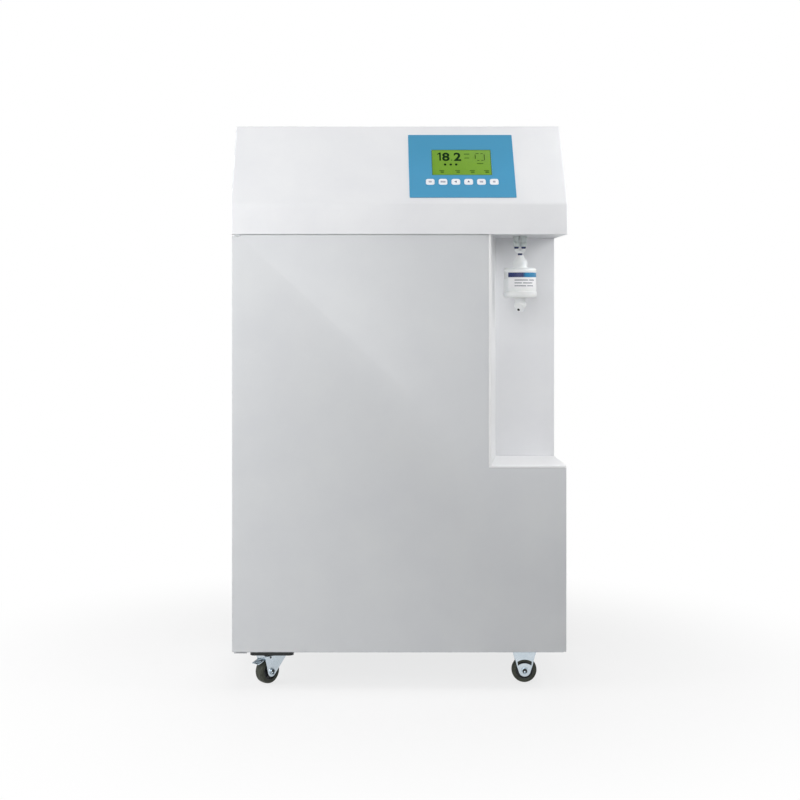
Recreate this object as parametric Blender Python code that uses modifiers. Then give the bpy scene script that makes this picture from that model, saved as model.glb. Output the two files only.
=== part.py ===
"""A laboratory water purifier: a floor-standing sheet-steel cabinet on casters.

Metres, +Z up. The front faces -Y and +X is on the right of someone who faces it. The origin is on
the floor, under the middle of the whole part.
"""

import math

import bmesh
import bpy
from mathutils import Matrix, Vector

# Cabinet
BODY_WIDTH = 0.636
HOOD_OVERHANG = 0.002
BODY_DEPTH = 0.460
REAR_REACH = 0.022
TOTAL_HEIGHT = 1.087
HOOD_HEIGHT = 0.219
BAND_HEIGHT = 0.058
SLOPE_RUN = 0.121
PANEL_LIFT = 0.0055
SHEET = 0.0015
PANEL_FLANGE = 0.018
FLANGE_RELIEF = 0.006
PAN_FLANGE = 0.025
PAN_CORNER_RELIEF = 0.035
GAP = 0.0003
OVERRUN = 0.004
WELD = 0.00001
ROUTE_STEP_DIAMETERS = 2.5

# Front door, an L-shaped pan hinged at its left edge
DOOR_SETBACK = 0.003
DOOR_DEPTH = 0.015
DOOR_TOP_GAP = 0.004
DOOR_EDGE_GAP = 0.0005
PIVOT_INSET = 0.007
PIVOT_RADIUS = 0.003
PIVOT_LENGTH = 0.012
SWING_CLEARANCE = 0.0008
HINGE_SHEET = 0.002
HINGE_WIDTH = 0.024
HINGE_TAIL = 0.030
CATCH_WIDTH = 0.010
CATCH_HEIGHT = 0.045
CATCH_RISE = 0.180

# Dispensing niche
NICHE_WIDTH = 0.148
NICHE_DEPTH = 0.180
NICHE_SPLAY = 0.0245
NICHE_STRIP = 0.0045
NICHE_FLOOR = 0.428

# Control panel on the slanted face: across from the middle, and up the slope from its foot
OVERLAY_LEFT = 0.020
OVERLAY_WIDTH = 0.204
OVERLAY_FOOT = 0.0144
OVERLAY_HEIGHT = 0.163
OVERLAY_SHEET = 0.0008
WINDOW_INSET = 0.0445
WINDOW_WIDTH = 0.116
WINDOW_RISE = 0.0569
WINDOW_HEIGHT = 0.0665
KEY_COUNT = 6
KEY_WIDTH = 0.0165
KEY_HEIGHT = 0.0145
KEY_RADIUS = 0.004
KEY_PITCH = 0.0246
KEY_INSET = 0.0404
KEY_RISE = 0.0394
KEY_PROUD = 0.0008
KEY_TRAVEL = 0.0004
KEY_ARC_STEPS = 3
DISPLAY_RIM = 0.006
DISPLAY_DEPTH = 0.008
BOARD_SHEET = 0.0016
BOARD_MARGIN = 0.006
STANDOFF_RADIUS = 0.004

# Capsule filter and its fittings, hung from the niche's ceiling
FILTER_SIDE_INSET = 0.079
FILTER_SETBACK = 0.085
FITTING_SPREAD = 0.0140
FITTING_RADIUS = 0.0064
FITTING_DROP = 0.021
COLLET_RADIUS = 0.0046
COLLET_DROP = 0.004
FITTING_NUT_RADIUS = 0.0067
FITTING_NUT_HEIGHT = 0.006
FITTING_THREAD_RADIUS = 0.0050
FITTING_STUB = 0.009
WYE_RADIUS = 0.0036
WYE_STUB = 0.0020
WYE_STUB_RADIUS = 0.0032
WYE_HEIGHT = 0.0125
WYE_COLLAR_RADIUS = 0.0045
NECK_RADIUS = 0.014
NECK_HEIGHT = 0.0245
CAPSULE_RADIUS = 0.0325
CAPSULE_HEIGHT = 0.058
CAPSULE_SHOULDER = 0.004
LOWER_NECK_RADIUS = 0.0105
LOWER_NECK_HEIGHT = 0.010
NOZZLE_RADIUS = 0.012
NOZZLE_TIP_RADIUS = 0.0055
NOZZLE_HEIGHT = 0.0175
NOZZLE_BORE = 0.0035
NOZZLE_SOCKET = 0.004
TURNED_SIDES = 24
SMALL_SIDES = 16

# Casters: swivelling ones with a brake on the left, rigid ones on the right
CASTER_SIDE_INSET = 0.0733
CASTER_END_INSET = 0.071
WHEEL_RADIUS = 0.0245
WHEEL_WIDTH = 0.020
WHEEL_CROWN = 0.003
HUB_RECESS_RADIUS = 0.0165
HUB_RECESS = 0.0015
HUB_RADIUS = 0.007
AXLE_RADIUS = 0.003
AXLE_CLEARANCE = 0.0004
AXLE_HEAD_RADIUS = 0.0058
AXLE_HEAD_HEIGHT = 0.0036
WHEEL_SIDE_GAP = 0.0015
WHEEL_HEADROOM = 0.00581
FORK_SHEET = 0.002
FORK_CROWN_SHEET = 0.0025
FORK_EYE_RADIUS = 0.010
FORK_TOP_HALF = 0.031
TRAIL = 0.0135
FRONT_SWIVEL_TURN = math.radians(225)
REAR_SWIVEL_TURN = math.radians(180)
MOUNT_LENGTH = 0.084
MOUNT_WIDTH = 0.060
MOUNT_HEIGHT = 0.0103
MOUNT_WALL = 0.0025
RACE_RADIUS = 0.017
RACE_BORE = 0.0052
KINGPIN_RADIUS = 0.0048
KINGPIN_LENGTH = 0.006
RIGID_TOP_HALF = 0.0245
RIGID_WAIST_HALF = 0.0168
RIGID_WAIST_DROP = 0.0232
RIGID_PLATE_LENGTH = 0.058
BRAKE_REACH = 0.017
BRAKE_PIVOT_DROP = 0.0052
BRAKE_PIN_RADIUS = 0.0015
BRAKE_PIN_CLEARANCE = 0.0003
BRAKE_LEVER_LENGTH = 0.030
BRAKE_LEVER_SHEET = 0.002
BRAKE_LEVER_WIDTH = 0.019
BRAKE_LEVER_SLOPE = math.radians(20)
WHEEL_SIDES = 24
FORK_ARC_STEPS = 8

# Water treatment train on the mounting plate
PLATE_SETBACK = 0.300
PLATE_SHEET = 0.002
PLATE_LEFT_INSET = 0.028
PLATE_RIGHT_INSET = 0.143
SUMP_RADIUS = 0.046
SUMP_HEIGHT = 0.255
SUMP_PITCH = 0.112
SUMP_INSET = 0.062
SUMP_COLLAR = 0.030
SUMP_STEP = 0.006
SUMP_FOOT = 0.008
MANIFOLD_RISE = 0.0011
MANIFOLD_HEIGHT = 0.050
MANIFOLD_MARGIN = 0.006
PORT_RADIUS = 0.0075
PORT_HEIGHT = 0.015
TUBE_RADIUS = 0.00475
VESSEL_LEGROOM = 0.1305
VESSEL_HEADROOM = 0.2083
VESSEL_CAP = 0.030
VESSEL_STEP = 0.003
VESSEL_GAP = 0.012
VESSEL_MARGIN = 0.005
VESSEL_SETOFF = 0.054
DI_EXTRA_RADIUS = 0.004
PUMP_MOTOR_LENGTH = 0.110
PUMP_HEAD_SIZE = 0.074
PUMP_HEAD_LENGTH = 0.058
PUMP_MOTOR_RADIUS = 0.038
PUMP_FOOT = 0.012
PUMP_GAP = 0.012
PUMP_SETBACK = 0.134
SUPPLY_WIDTH = 0.200
SUPPLY_HEIGHT = 0.110
SUPPLY_DEPTH = 0.055
SUPPLY_CLEARANCE = 0.030
SUPPLY_MARGIN = 0.010
TUBE_BEND = 0.030
GROMMET_CLEARANCE = 0.003
RISER_BACKSET = 0.045
RISER_SIDE_INSET = 0.103

# Rear panel and what it carries
LOUVRE_WIDTH = 0.120
LOUVRE_HEIGHT = 0.004
LOUVRE_PITCH = 0.016
LOUVRE_ROWS = 9
LOUVRE_DROP = 0.1625
LOUVRE_OFFSET = 0.150
PORT_BLOCK_WIDTH = 0.110
PORT_BLOCK_HEIGHT = 0.040
PORT_BLOCK_DEPTH = 0.018
PORT_BLOCK_RISE = 0.090
PORT_BLOCK_INSET = 0.118
PORT_BLOCK_FACE = 0.004
BARB_COUNT = 3
BARB_PITCH = 0.034
BARB_RADIUS = 0.0065
INLET_WIDTH = 0.050
INLET_HEIGHT = 0.058
INLET_DEPTH = 0.030
INLET_FACE = 0.003
FACE_MARGIN = 0.004
INLET_INSET = 0.098
INLET_RISE = 0.090
SOCKET_WIDTH = 0.024
SOCKET_HEIGHT = 0.017
SOCKET_DEPTH = 0.016
SOCKET_OFFSET = 0.012
SWITCH_WIDTH = 0.020
SWITCH_HEIGHT = 0.015
SWITCH_OFFSET = 0.016
SWITCH_DEPTH = 0.010
SWITCH_PROUD = 0.0025
SWITCH_CLEARANCE = 0.0016
SWITCH_TILT = math.radians(7)

# Places worked out from the sizes above
HOOD_WIDTH = BODY_WIDTH + 2 * HOOD_OVERHANG
HOOD_BOTTOM = TOTAL_HEIGHT - HOOD_HEIGHT
AXLE_HEIGHT = WHEEL_RADIUS * math.cos(math.pi / WHEEL_SIDES)
FORK_TOP = AXLE_HEIGHT + WHEEL_RADIUS + WHEEL_HEADROOM + FORK_CROWN_SHEET
PAN_BOTTOM = FORK_TOP + GAP + MOUNT_HEIGHT + GAP
PANEL_BOTTOM = PAN_BOTTOM + PANEL_LIFT
FRONT = -(BODY_DEPTH + REAR_REACH) / 2
BACK = FRONT + BODY_DEPTH
SIDE = BODY_WIDTH / 2
SLOPE_FOOT = HOOD_BOTTOM + BAND_HEIGHT
SLOPE_RISE = TOTAL_HEIGHT - SLOPE_FOOT
DOOR_FRONT = FRONT + DOOR_SETBACK
DOOR_LEFT = -SIDE
DOOR_TOP = HOOD_BOTTOM - DOOR_TOP_GAP
PIVOT_X = DOOR_LEFT + PIVOT_INSET
PIVOT_Y = DOOR_FRONT + DOOR_DEPTH / 2
PANEL_FRONT = PIVOT_Y + math.hypot(PIVOT_INSET, DOOR_DEPTH / 2) + SWING_CLEARANCE
REAR_FACE = BACK - SHEET
NICHE_LEFT = SIDE - NICHE_WIDTH
NICHE_INNER = NICHE_LEFT + DOOR_EDGE_GAP + NICHE_STRIP
NICHE_BACK = DOOR_FRONT + NICHE_DEPTH
NICHE_BACK_LEFT = NICHE_INNER + NICHE_SPLAY
DECK_BOTTOM = HOOD_BOTTOM + GAP
DECK_TOP = DECK_BOTTOM + SHEET
DOOR_SHOULDER = NICHE_FLOOR - NICHE_STRIP
PAN_FLOOR = PAN_BOTTOM + SHEET
PLATE_FRONT = FRONT + PLATE_SETBACK
FILTER_X = SIDE - FILTER_SIDE_INSET
FILTER_Y = DOOR_FRONT + FILTER_SETBACK
LEG_INNER = WHEEL_WIDTH / 2 + WHEEL_SIDE_GAP
WYE_TOP = DECK_BOTTOM - FITTING_DROP - COLLET_DROP - GAP
NECK_TOP = WYE_TOP - WYE_HEIGHT - GAP
FITTING_TOP = DECK_TOP + GAP + FITTING_NUT_HEIGHT + FITTING_STUB
PLATE_LEFT = PLATE_LEFT_INSET - SIDE
PLATE_RIGHT = SIDE - PLATE_RIGHT_INSET
SUMP_LEFT = PLATE_LEFT + SUMP_INSET
SUMP_Y = PLATE_FRONT - GAP - SUMP_RADIUS
MANIFOLD_RIGHT = SUMP_LEFT + SUMP_PITCH + SUMP_RADIUS + MANIFOLD_MARGIN
MANIFOLD_BOTTOM = (PAN_FLOOR + DECK_BOTTOM) / 2 + MANIFOLD_RISE
MANIFOLD_TOP = MANIFOLD_BOTTOM + MANIFOLD_HEIGHT
MANIFOLD_PORT_TOP = MANIFOLD_TOP + PORT_HEIGHT
FEED_HOLE_HEIGHT = MANIFOLD_PORT_TOP + 2 * TUBE_BEND
VESSEL_BOTTOM = PAN_FLOOR + VESSEL_LEGROOM
VESSEL_HEIGHT = DECK_BOTTOM - VESSEL_HEADROOM - VESSEL_BOTTOM
VESSELS_LEFT = MANIFOLD_RIGHT + VESSEL_SETOFF
VESSELS_WIDTH = PLATE_RIGHT - VESSEL_MARGIN - VESSELS_LEFT
RO_RADIUS = (VESSELS_WIDTH - VESSEL_GAP) / 4 - DI_EXTRA_RADIUS / 2
DI_RADIUS = RO_RADIUS + DI_EXTRA_RADIUS
RO_X = VESSELS_LEFT + RO_RADIUS
DI_X = PLATE_RIGHT - VESSEL_MARGIN - DI_RADIUS
PUMP_RIGHT = VESSELS_LEFT - PUMP_GAP
PUMP_Y = PLATE_FRONT - PUMP_SETBACK
PUMP_AXIS_HEIGHT = PAN_FLOOR + GAP + PUMP_FOOT + PUMP_HEAD_SIZE / 2
PUMP_PORT_X = PUMP_RIGHT - PUMP_HEAD_LENGTH / 2
PUMP_PORT_TOP = PUMP_AXIS_HEIGHT + PUMP_HEAD_SIZE / 2 + PORT_HEIGHT
RISER_X = SIDE - RISER_SIDE_INSET
RISER_Y = NICHE_BACK + RISER_BACKSET
PORT_BLOCK_X = PORT_BLOCK_INSET - SIDE
INLET_X = SIDE - INLET_INSET
PORT_HEIGHT_ABOVE_FLOOR = PANEL_BOTTOM + PORT_BLOCK_RISE + PORT_BLOCK_HEIGHT / 2

# How an outline's (across, up) lies in the part: PLAN extrudes along Z, SIDEWAYS along X, FACING along Y
PLAN = Matrix.Identity(3)
SIDEWAYS = Matrix(((0, 0, 1), (1, 0, 0), (0, 1, 0)))
FACING = Matrix(((1, 0, 0), (0, 0, -1), (0, 1, 0)))
SLOPE_LENGTH = math.hypot(SLOPE_RUN, SLOPE_RISE)
SLOPE_UP = Vector((0, SLOPE_RUN, SLOPE_RISE)) / SLOPE_LENGTH
SLOPE_OUT = Vector((0, -SLOPE_RISE, SLOPE_RUN)) / SLOPE_LENGTH
SLOPE = Matrix((Vector((1, 0, 0)), SLOPE_UP, SLOPE_OUT)).transposed()


def clear_scene():
    """Removes whatever the scene holds."""
    for thing in list(bpy.data.objects):
        bpy.data.objects.remove(thing)


def new_collection(name):
    group = bpy.data.collections.new(name)
    bpy.context.scene.collection.children.link(group)
    return group


def finish(name, colour, roughness, metallic=0.0):
    """A Principled material. The colour is linear red, green and blue."""
    made = bpy.data.materials.new(name)
    made.use_nodes = True
    shader = made.node_tree.nodes["Principled BSDF"]
    shader.inputs["Base Color"].default_value = (*colour, 1.0)
    shader.inputs["Roughness"].default_value = roughness
    shader.inputs["Metallic"].default_value = metallic
    return made


clear_scene()
PARTS = new_collection("laboratory_water_purifier")
CUTTERS = new_collection("cutters")

WHITE_ENAMEL = finish("white_powder_coat", (0.80, 0.81, 0.82), 0.45)
GREY_ENAMEL = finish("silver_grey_powder_coat", (0.62, 0.64, 0.65), 0.40)
GALVANISED = finish("galvanised_steel", (0.60, 0.61, 0.62), 0.45, 0.9)
ZINC = finish("zinc_plated_steel", (0.70, 0.72, 0.74), 0.30, 1.0)
BLACK_STEEL = finish("black_coated_steel", (0.02, 0.02, 0.02), 0.40)
BLUE_FILM = finish("blue_control_film", (0.10, 0.34, 0.56), 0.35)
KEY_WHITE = finish("white_key", (0.85, 0.86, 0.90), 0.40)
DISPLAY_GREEN = finish("display_green", (0.16, 0.32, 0.04), 0.15)
BOARD_GREEN = finish("circuit_board", (0.02, 0.14, 0.06), 0.45)
WHITE_PLASTIC = finish("white_plastic", (0.82, 0.83, 0.83), 0.35)
BLUE_PLASTIC = finish("blue_plastic", (0.03, 0.10, 0.40), 0.35)
BLACK_PLASTIC = finish("black_plastic", (0.02, 0.02, 0.02), 0.45)
RUBBER = finish("grey_green_rubber", (0.06, 0.07, 0.05), 0.65)
MAGNET = finish("magnetic_catch", (0.05, 0.05, 0.05), 0.50)


def link(name, data, frame, look, group=PARTS):
    """An object of this name and mesh or curve, at this place, in the part or among its cutters."""
    made = bpy.data.objects.new(name, data)
    made.matrix_world = frame
    if look is not None:
        data.materials.append(look)
    if group is CUTTERS:
        made.hide_render = True
        made.display_type = "WIRE"
    group.objects.link(made)
    return made


def mesh_from(name, shape):
    data = bpy.data.meshes.new(name)
    bmesh.ops.recalc_face_normals(shape, faces=shape.faces)
    shape.to_mesh(data)
    shape.free()
    return data


def smooth(thing):
    """Smooth shading that keeps the sharp edges."""
    thing.data.shade_smooth()
    thing.data.set_sharp_from_angle(angle=math.radians(35))
    return thing


def box(name, low, high, look=None, group=PARTS):
    """A box between two opposite corners, with its origin at its middle."""
    low, high = Vector(map(min, low, high)), Vector(map(max, low, high))
    shape = bmesh.new()
    bmesh.ops.create_cube(shape, size=1)
    bmesh.ops.scale(shape, vec=high - low, verts=shape.verts)
    return link(name, mesh_from(name, shape), Matrix.Translation((low + high) / 2), look, group)


def rod(name, start, end, radius, look=None, group=PARTS, sides=SMALL_SIDES):
    """A cylinder from one point to another."""
    start, end = Vector(start), Vector(end)
    along = end - start
    shape = bmesh.new()
    bmesh.ops.create_cone(
        shape, cap_ends=True, segments=sides, radius1=radius, radius2=radius, depth=along.length
    )
    turn = along.to_track_quat("Z", "Y").to_matrix().to_4x4()
    made = link(name, mesh_from(name, shape), Matrix.Translation((start + end) / 2) @ turn, look, group)
    return smooth(made)


def plate(name, outlines, thickness, at, axes, look=None, group=PARTS):
    """A flat outline of closed loops, thickened both ways from its own plane. Inner loops are holes."""
    sheet = bpy.data.curves.new(name, "CURVE")
    sheet.dimensions = "2D"
    sheet.fill_mode = "BOTH"
    sheet.extrude = thickness / 2
    for loop in outlines:
        spline = sheet.splines.new("POLY")
        spline.points.add(len(loop) - 1)
        for point, (across, up) in zip(spline.points, loop):
            point.co = (across, up, 0, 1)
        spline.use_cyclic_u = True
    flat = bpy.data.objects.new(name, sheet)
    bpy.context.scene.collection.objects.link(flat)
    graph = bpy.context.evaluated_depsgraph_get()
    data = bpy.data.meshes.new_from_object(flat.evaluated_get(graph))
    bpy.data.objects.remove(flat)
    bpy.data.curves.remove(sheet)
    shape = bmesh.new()
    shape.from_mesh(data)
    bpy.data.meshes.remove(data)
    bmesh.ops.remove_doubles(shape, verts=shape.verts, dist=WELD)
    frame = Matrix.Translation(at) @ axes.to_4x4()
    return link(name, mesh_from(name, shape), frame, look, group)


def turned(name, profile, at, look=None, group=PARTS, sides=TURNED_SIDES, axes=PLAN):
    """A profile of (radius, height) points, listed down its outer side, turned about its own Z axis."""
    data = bpy.data.meshes.new(name)
    points = [(radius, 0, height) for radius, height in profile]
    closed = profile[0][0] > 0
    edges = [(i, i + 1) for i in range(len(points) - 1)]
    if closed:
        edges.append((len(points) - 1, 0))
    data.from_pydata(points, edges, [])
    made = link(name, data, Matrix.Translation(at) @ axes.to_4x4(), look, group)
    screw = made.modifiers.new("turn", "SCREW")
    screw.steps = sides
    screw.render_steps = sides
    screw.use_merge_vertices = True
    screw.merge_threshold = WELD
    screw.use_smooth_shade = True
    return made


def boolean(thing, other, operation):
    step = thing.modifiers.new(other.name, "BOOLEAN")
    step.operation = operation
    step.solver = "EXACT"
    step.object = other
    return thing


def cut(thing, *cutters):
    """Cuts each of the cutters out of the piece."""
    for cutter in cutters:
        boolean(thing, cutter, "DIFFERENCE")
    return thing


def join(thing, *others):
    """Adds each of the other shapes to the piece."""
    for other in others:
        boolean(thing, other, "UNION")
    return thing


def helper_box(name, low, high):
    return box(name, low, high, group=CUTTERS)


def helper_rod(name, start, end, radius, sides=SMALL_SIDES):
    return rod(name, start, end, radius, group=CUTTERS, sides=sides)


def rectangle(left, bottom, right, top):
    return [(left, bottom), (right, bottom), (right, top), (left, top)]


def arc(centre, radius, start, end, steps):
    """Points on an arc, both ends included."""
    turns = (start + (end - start) * step / steps for step in range(steps + 1))
    return [(centre[0] + radius * math.cos(t), centre[1] + radius * math.sin(t)) for t in turns]


def rounded_rectangle(centre, width, height, radius, steps):
    """A rectangle's outline with round corners, anticlockwise from its right side."""
    points = []
    for quarter, (side, end) in enumerate(((1, 1), (-1, 1), (-1, -1), (1, -1))):
        corner = (
            centre[0] + side * (width / 2 - radius),
            centre[1] + end * (height / 2 - radius),
        )
        start = quarter * math.pi / 2
        points += arc(corner, radius, start, start + math.pi / 2, steps)
    return points


def tube(name, route, radius, look):
    """A round tube along a smooth curve through the points of its route."""
    points = smooth_route([Vector(point) for point in route], radius)
    line = bpy.data.curves.new(name, "CURVE")
    line.dimensions = "3D"
    line.bevel_depth = radius
    line.bevel_resolution = 2
    line.use_fill_caps = True
    spline = line.splines.new("POLY")
    spline.points.add(len(points) - 1)
    for place, point in zip(spline.points, points):
        place.co = (*point, 1)
    made = link(name, line, Matrix.Identity(4), look)
    return made


def smooth_route(knots, radius):
    """Points on a Catmull-Rom curve through the knots, about two and a half diameters apart."""
    ends = [2 * knots[0] - knots[1], *knots, 2 * knots[-1] - knots[-2]]
    points = [knots[0]]
    for before, here, there, after in zip(ends, ends[1:], ends[2:], ends[3:]):
        steps = max(1, round((there - here).length / (2 * radius * ROUTE_STEP_DIAMETERS)))
        for step in range(1, steps + 1):
            t = step / steps
            points.append(
                (
                    2 * here
                    + (there - before) * t
                    + (2 * before - 5 * here + 4 * there - after) * t**2
                    + (3 * here - before - 3 * there + after) * t**3
                )
                / 2
            )
    return points


def build_base_pan():
    """The floor tray. Its flanges stop short of the corners, where the side panels' flanges are."""
    side = SIDE - SHEET - GAP
    rear = REAR_FACE - GAP
    top = PAN_BOTTOM + PAN_FLANGE
    across = SIDE - PAN_CORNER_RELIEF
    floor = box("base_pan", (-side, PANEL_FRONT, PAN_BOTTOM), (side, rear, PAN_FLOOR), GALVANISED)
    clear_front = PANEL_FRONT + SHEET + GAP
    clear_rear = rear - SHEET - GAP
    flanges = [
        helper_box("pan_front", (-across, PANEL_FRONT, PAN_BOTTOM), (across, PANEL_FRONT + SHEET, top)),
        helper_box("pan_rear", (-across, rear - SHEET, PAN_BOTTOM), (across, rear, top)),
        helper_box("pan_left", (-side, clear_front, PAN_BOTTOM), (-side + SHEET, clear_rear, top)),
        helper_box("pan_right", (side - SHEET, clear_front, PAN_BOTTOM), (side, clear_rear, top)),
    ]
    return join(floor, *flanges)


def panel_flange(name, hand, front, bottom, top):
    """A flange folded inwards from a side panel's skin. The hand is -1 on the left and 1 on the right."""
    return helper_box(
        name, (hand * SIDE, front, bottom), (hand * (SIDE - PANEL_FLANGE), front + SHEET, top)
    )


def build_left_side_panel():
    rear = REAR_FACE - GAP
    skin = box(
        "left_side_panel",
        (-SIDE, PANEL_FRONT, PANEL_BOTTOM),
        (-SIDE + SHEET, rear, HOOD_BOTTOM),
        WHITE_ENAMEL,
    )
    relieved = HOOD_BOTTOM - FLANGE_RELIEF
    return join(
        skin,
        panel_flange("left_front_flange", -1, PANEL_FRONT, PANEL_BOTTOM, relieved),
        panel_flange("left_rear_flange", -1, rear - SHEET, PANEL_BOTTOM, relieved),
    )


def build_right_side_panel():
    """The right skin, cut away in front of the niche's back wall and above the niche's floor."""
    rear = REAR_FACE - GAP
    shoulder = NICHE_FLOOR - SHEET - GAP
    behind_niche = NICHE_BACK + SHEET + 2 * GAP
    outline = [
        (PANEL_FRONT, PANEL_BOTTOM),
        (rear, PANEL_BOTTOM),
        (rear, HOOD_BOTTOM),
        (behind_niche, HOOD_BOTTOM),
        (behind_niche, shoulder),
        (PANEL_FRONT, shoulder),
    ]
    skin = plate(
        "right_side_panel", [outline], SHEET, (SIDE - SHEET / 2, 0, 0), SIDEWAYS, WHITE_ENAMEL
    )
    relieved = HOOD_BOTTOM - FLANGE_RELIEF
    return join(
        skin,
        panel_flange("right_front_flange", 1, PANEL_FRONT, PANEL_BOTTOM, shoulder),
        panel_flange("right_niche_flange", 1, behind_niche, NICHE_FLOOR, relieved),
        panel_flange("right_rear_flange", 1, rear - SHEET, PANEL_BOTTOM, relieved),
    )


def port_block_corners(margin):
    bottom = PANEL_BOTTOM + PORT_BLOCK_RISE
    half = PORT_BLOCK_WIDTH / 2
    return (
        PORT_BLOCK_X - half - margin,
        bottom - margin,
        PORT_BLOCK_X + half + margin,
        bottom + PORT_BLOCK_HEIGHT + margin,
    )


def inlet_corners(margin):
    bottom = PANEL_BOTTOM + INLET_RISE
    half = INLET_WIDTH / 2
    return (
        INLET_X - half - margin,
        bottom - margin,
        INLET_X + half + margin,
        bottom + INLET_HEIGHT + margin,
    )


def build_rear_panel():
    """The rear sheet, with two columns of vent slots and the cut-outs of the ports and the mains inlet."""
    loops = [rectangle(-SIDE, PANEL_BOTTOM, SIDE, HOOD_BOTTOM - GAP)]
    loops.append(rectangle(*port_block_corners(GAP)))
    loops.append(rectangle(*inlet_corners(GAP)))
    half = LOUVRE_WIDTH / 2
    for middle in (-LOUVRE_OFFSET, LOUVRE_OFFSET):
        for row in range(LOUVRE_ROWS):
            top = HOOD_BOTTOM - LOUVRE_DROP - row * LOUVRE_PITCH
            loops.append(rectangle(middle - half, top - LOUVRE_HEIGHT, middle + half, top))
    return plate("rear_panel", loops, SHEET, (0, BACK - SHEET / 2, 0), FACING, WHITE_ENAMEL)


def circle(centre, radius, sides=SMALL_SIDES):
    return arc(centre, radius, 0, 2 * math.pi * (sides - 1) / sides, sides - 1)


def build_hood_deck():
    """The flat sheet over the cabinet, which is also the niche's ceiling."""
    across = HOOD_WIDTH / 2 - SHEET - GAP
    loops = [rectangle(-across, FRONT + SHEET + GAP, across, BACK - SHEET - GAP)]
    for hand in (-1, 1):
        centre = (FILTER_X + hand * FITTING_SPREAD / 2, FILTER_Y)
        loops.append(circle(centre, FITTING_THREAD_RADIUS + GAP))
    loops.append(circle((RISER_X, RISER_Y), TUBE_RADIUS + GROMMET_CLEARANCE))
    return plate("hood_deck", loops, SHEET, (0, 0, DECK_BOTTOM + SHEET / 2), PLAN, WHITE_ENAMEL)


def hood_profile(bottom):
    """The hood's side outline down to this height, anticlockwise as (back, up)."""
    return [
        (FRONT, bottom),
        (BACK, bottom),
        (BACK, TOTAL_HEIGHT),
        (FRONT + SLOPE_RUN, TOTAL_HEIGHT),
        (FRONT, SLOPE_FOOT),
    ]


def inset(outline, distance):
    """An anticlockwise outline with every side moved in by this distance."""
    moved = []
    for i, here in enumerate(outline):
        before, after = Vector(outline[i - 1]), Vector(outline[(i + 1) % len(outline)])
        here = Vector(here)
        arriving, leaving = (here - before).normalized(), (after - here).normalized()
        first, second = Vector((-arriving.y, arriving.x)), Vector((-leaving.y, leaving.x))
        moved.append(here + (first + second) * distance / (1 + first.dot(second)))
    return moved


def slope_place(out=0.0):
    """The middle of the slope's foot, moved out of the slanted face by this much."""
    return Vector((0, FRONT, SLOPE_FOOT)) + SLOPE_OUT * out


def window_loop(margin):
    left = OVERLAY_LEFT + WINDOW_INSET
    foot = OVERLAY_FOOT + WINDOW_RISE
    return rectangle(
        left - margin, foot - margin, left + WINDOW_WIDTH + margin, foot + WINDOW_HEIGHT + margin
    )


def key_centre(index):
    """A key's middle, as (across, up the slope)."""
    return (OVERLAY_LEFT + KEY_INSET + index * KEY_PITCH, OVERLAY_FOOT + KEY_RISE)


def key_loop(centre, margin):
    return rounded_rectangle(
        centre, KEY_WIDTH + 2 * margin, KEY_HEIGHT + 2 * margin, KEY_RADIUS + margin, KEY_ARC_STEPS
    )


def key_holes():
    return [key_loop(key_centre(index), GAP) for index in range(KEY_COUNT)]


def build_hood_cover():
    """The folded lid: front band, slanted face, flat top, back and both ends, open below."""
    cover = plate(
        "hood_cover", [hood_profile(HOOD_BOTTOM)], HOOD_WIDTH, (0, 0, 0), SIDEWAYS, WHITE_ENAMEL
    )
    inside = plate(
        "hood_inside",
        [inset(hood_profile(HOOD_BOTTOM - OVERRUN), SHEET)],
        HOOD_WIDTH - 2 * SHEET,
        (0, 0, 0),
        SIDEWAYS,
        group=CUTTERS,
    )
    loops = [window_loop(0), *key_holes()]
    holes = plate("hood_holes", loops, 2 * OVERRUN, slope_place(), SLOPE, group=CUTTERS)
    return cut(cover, inside, holes)


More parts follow.
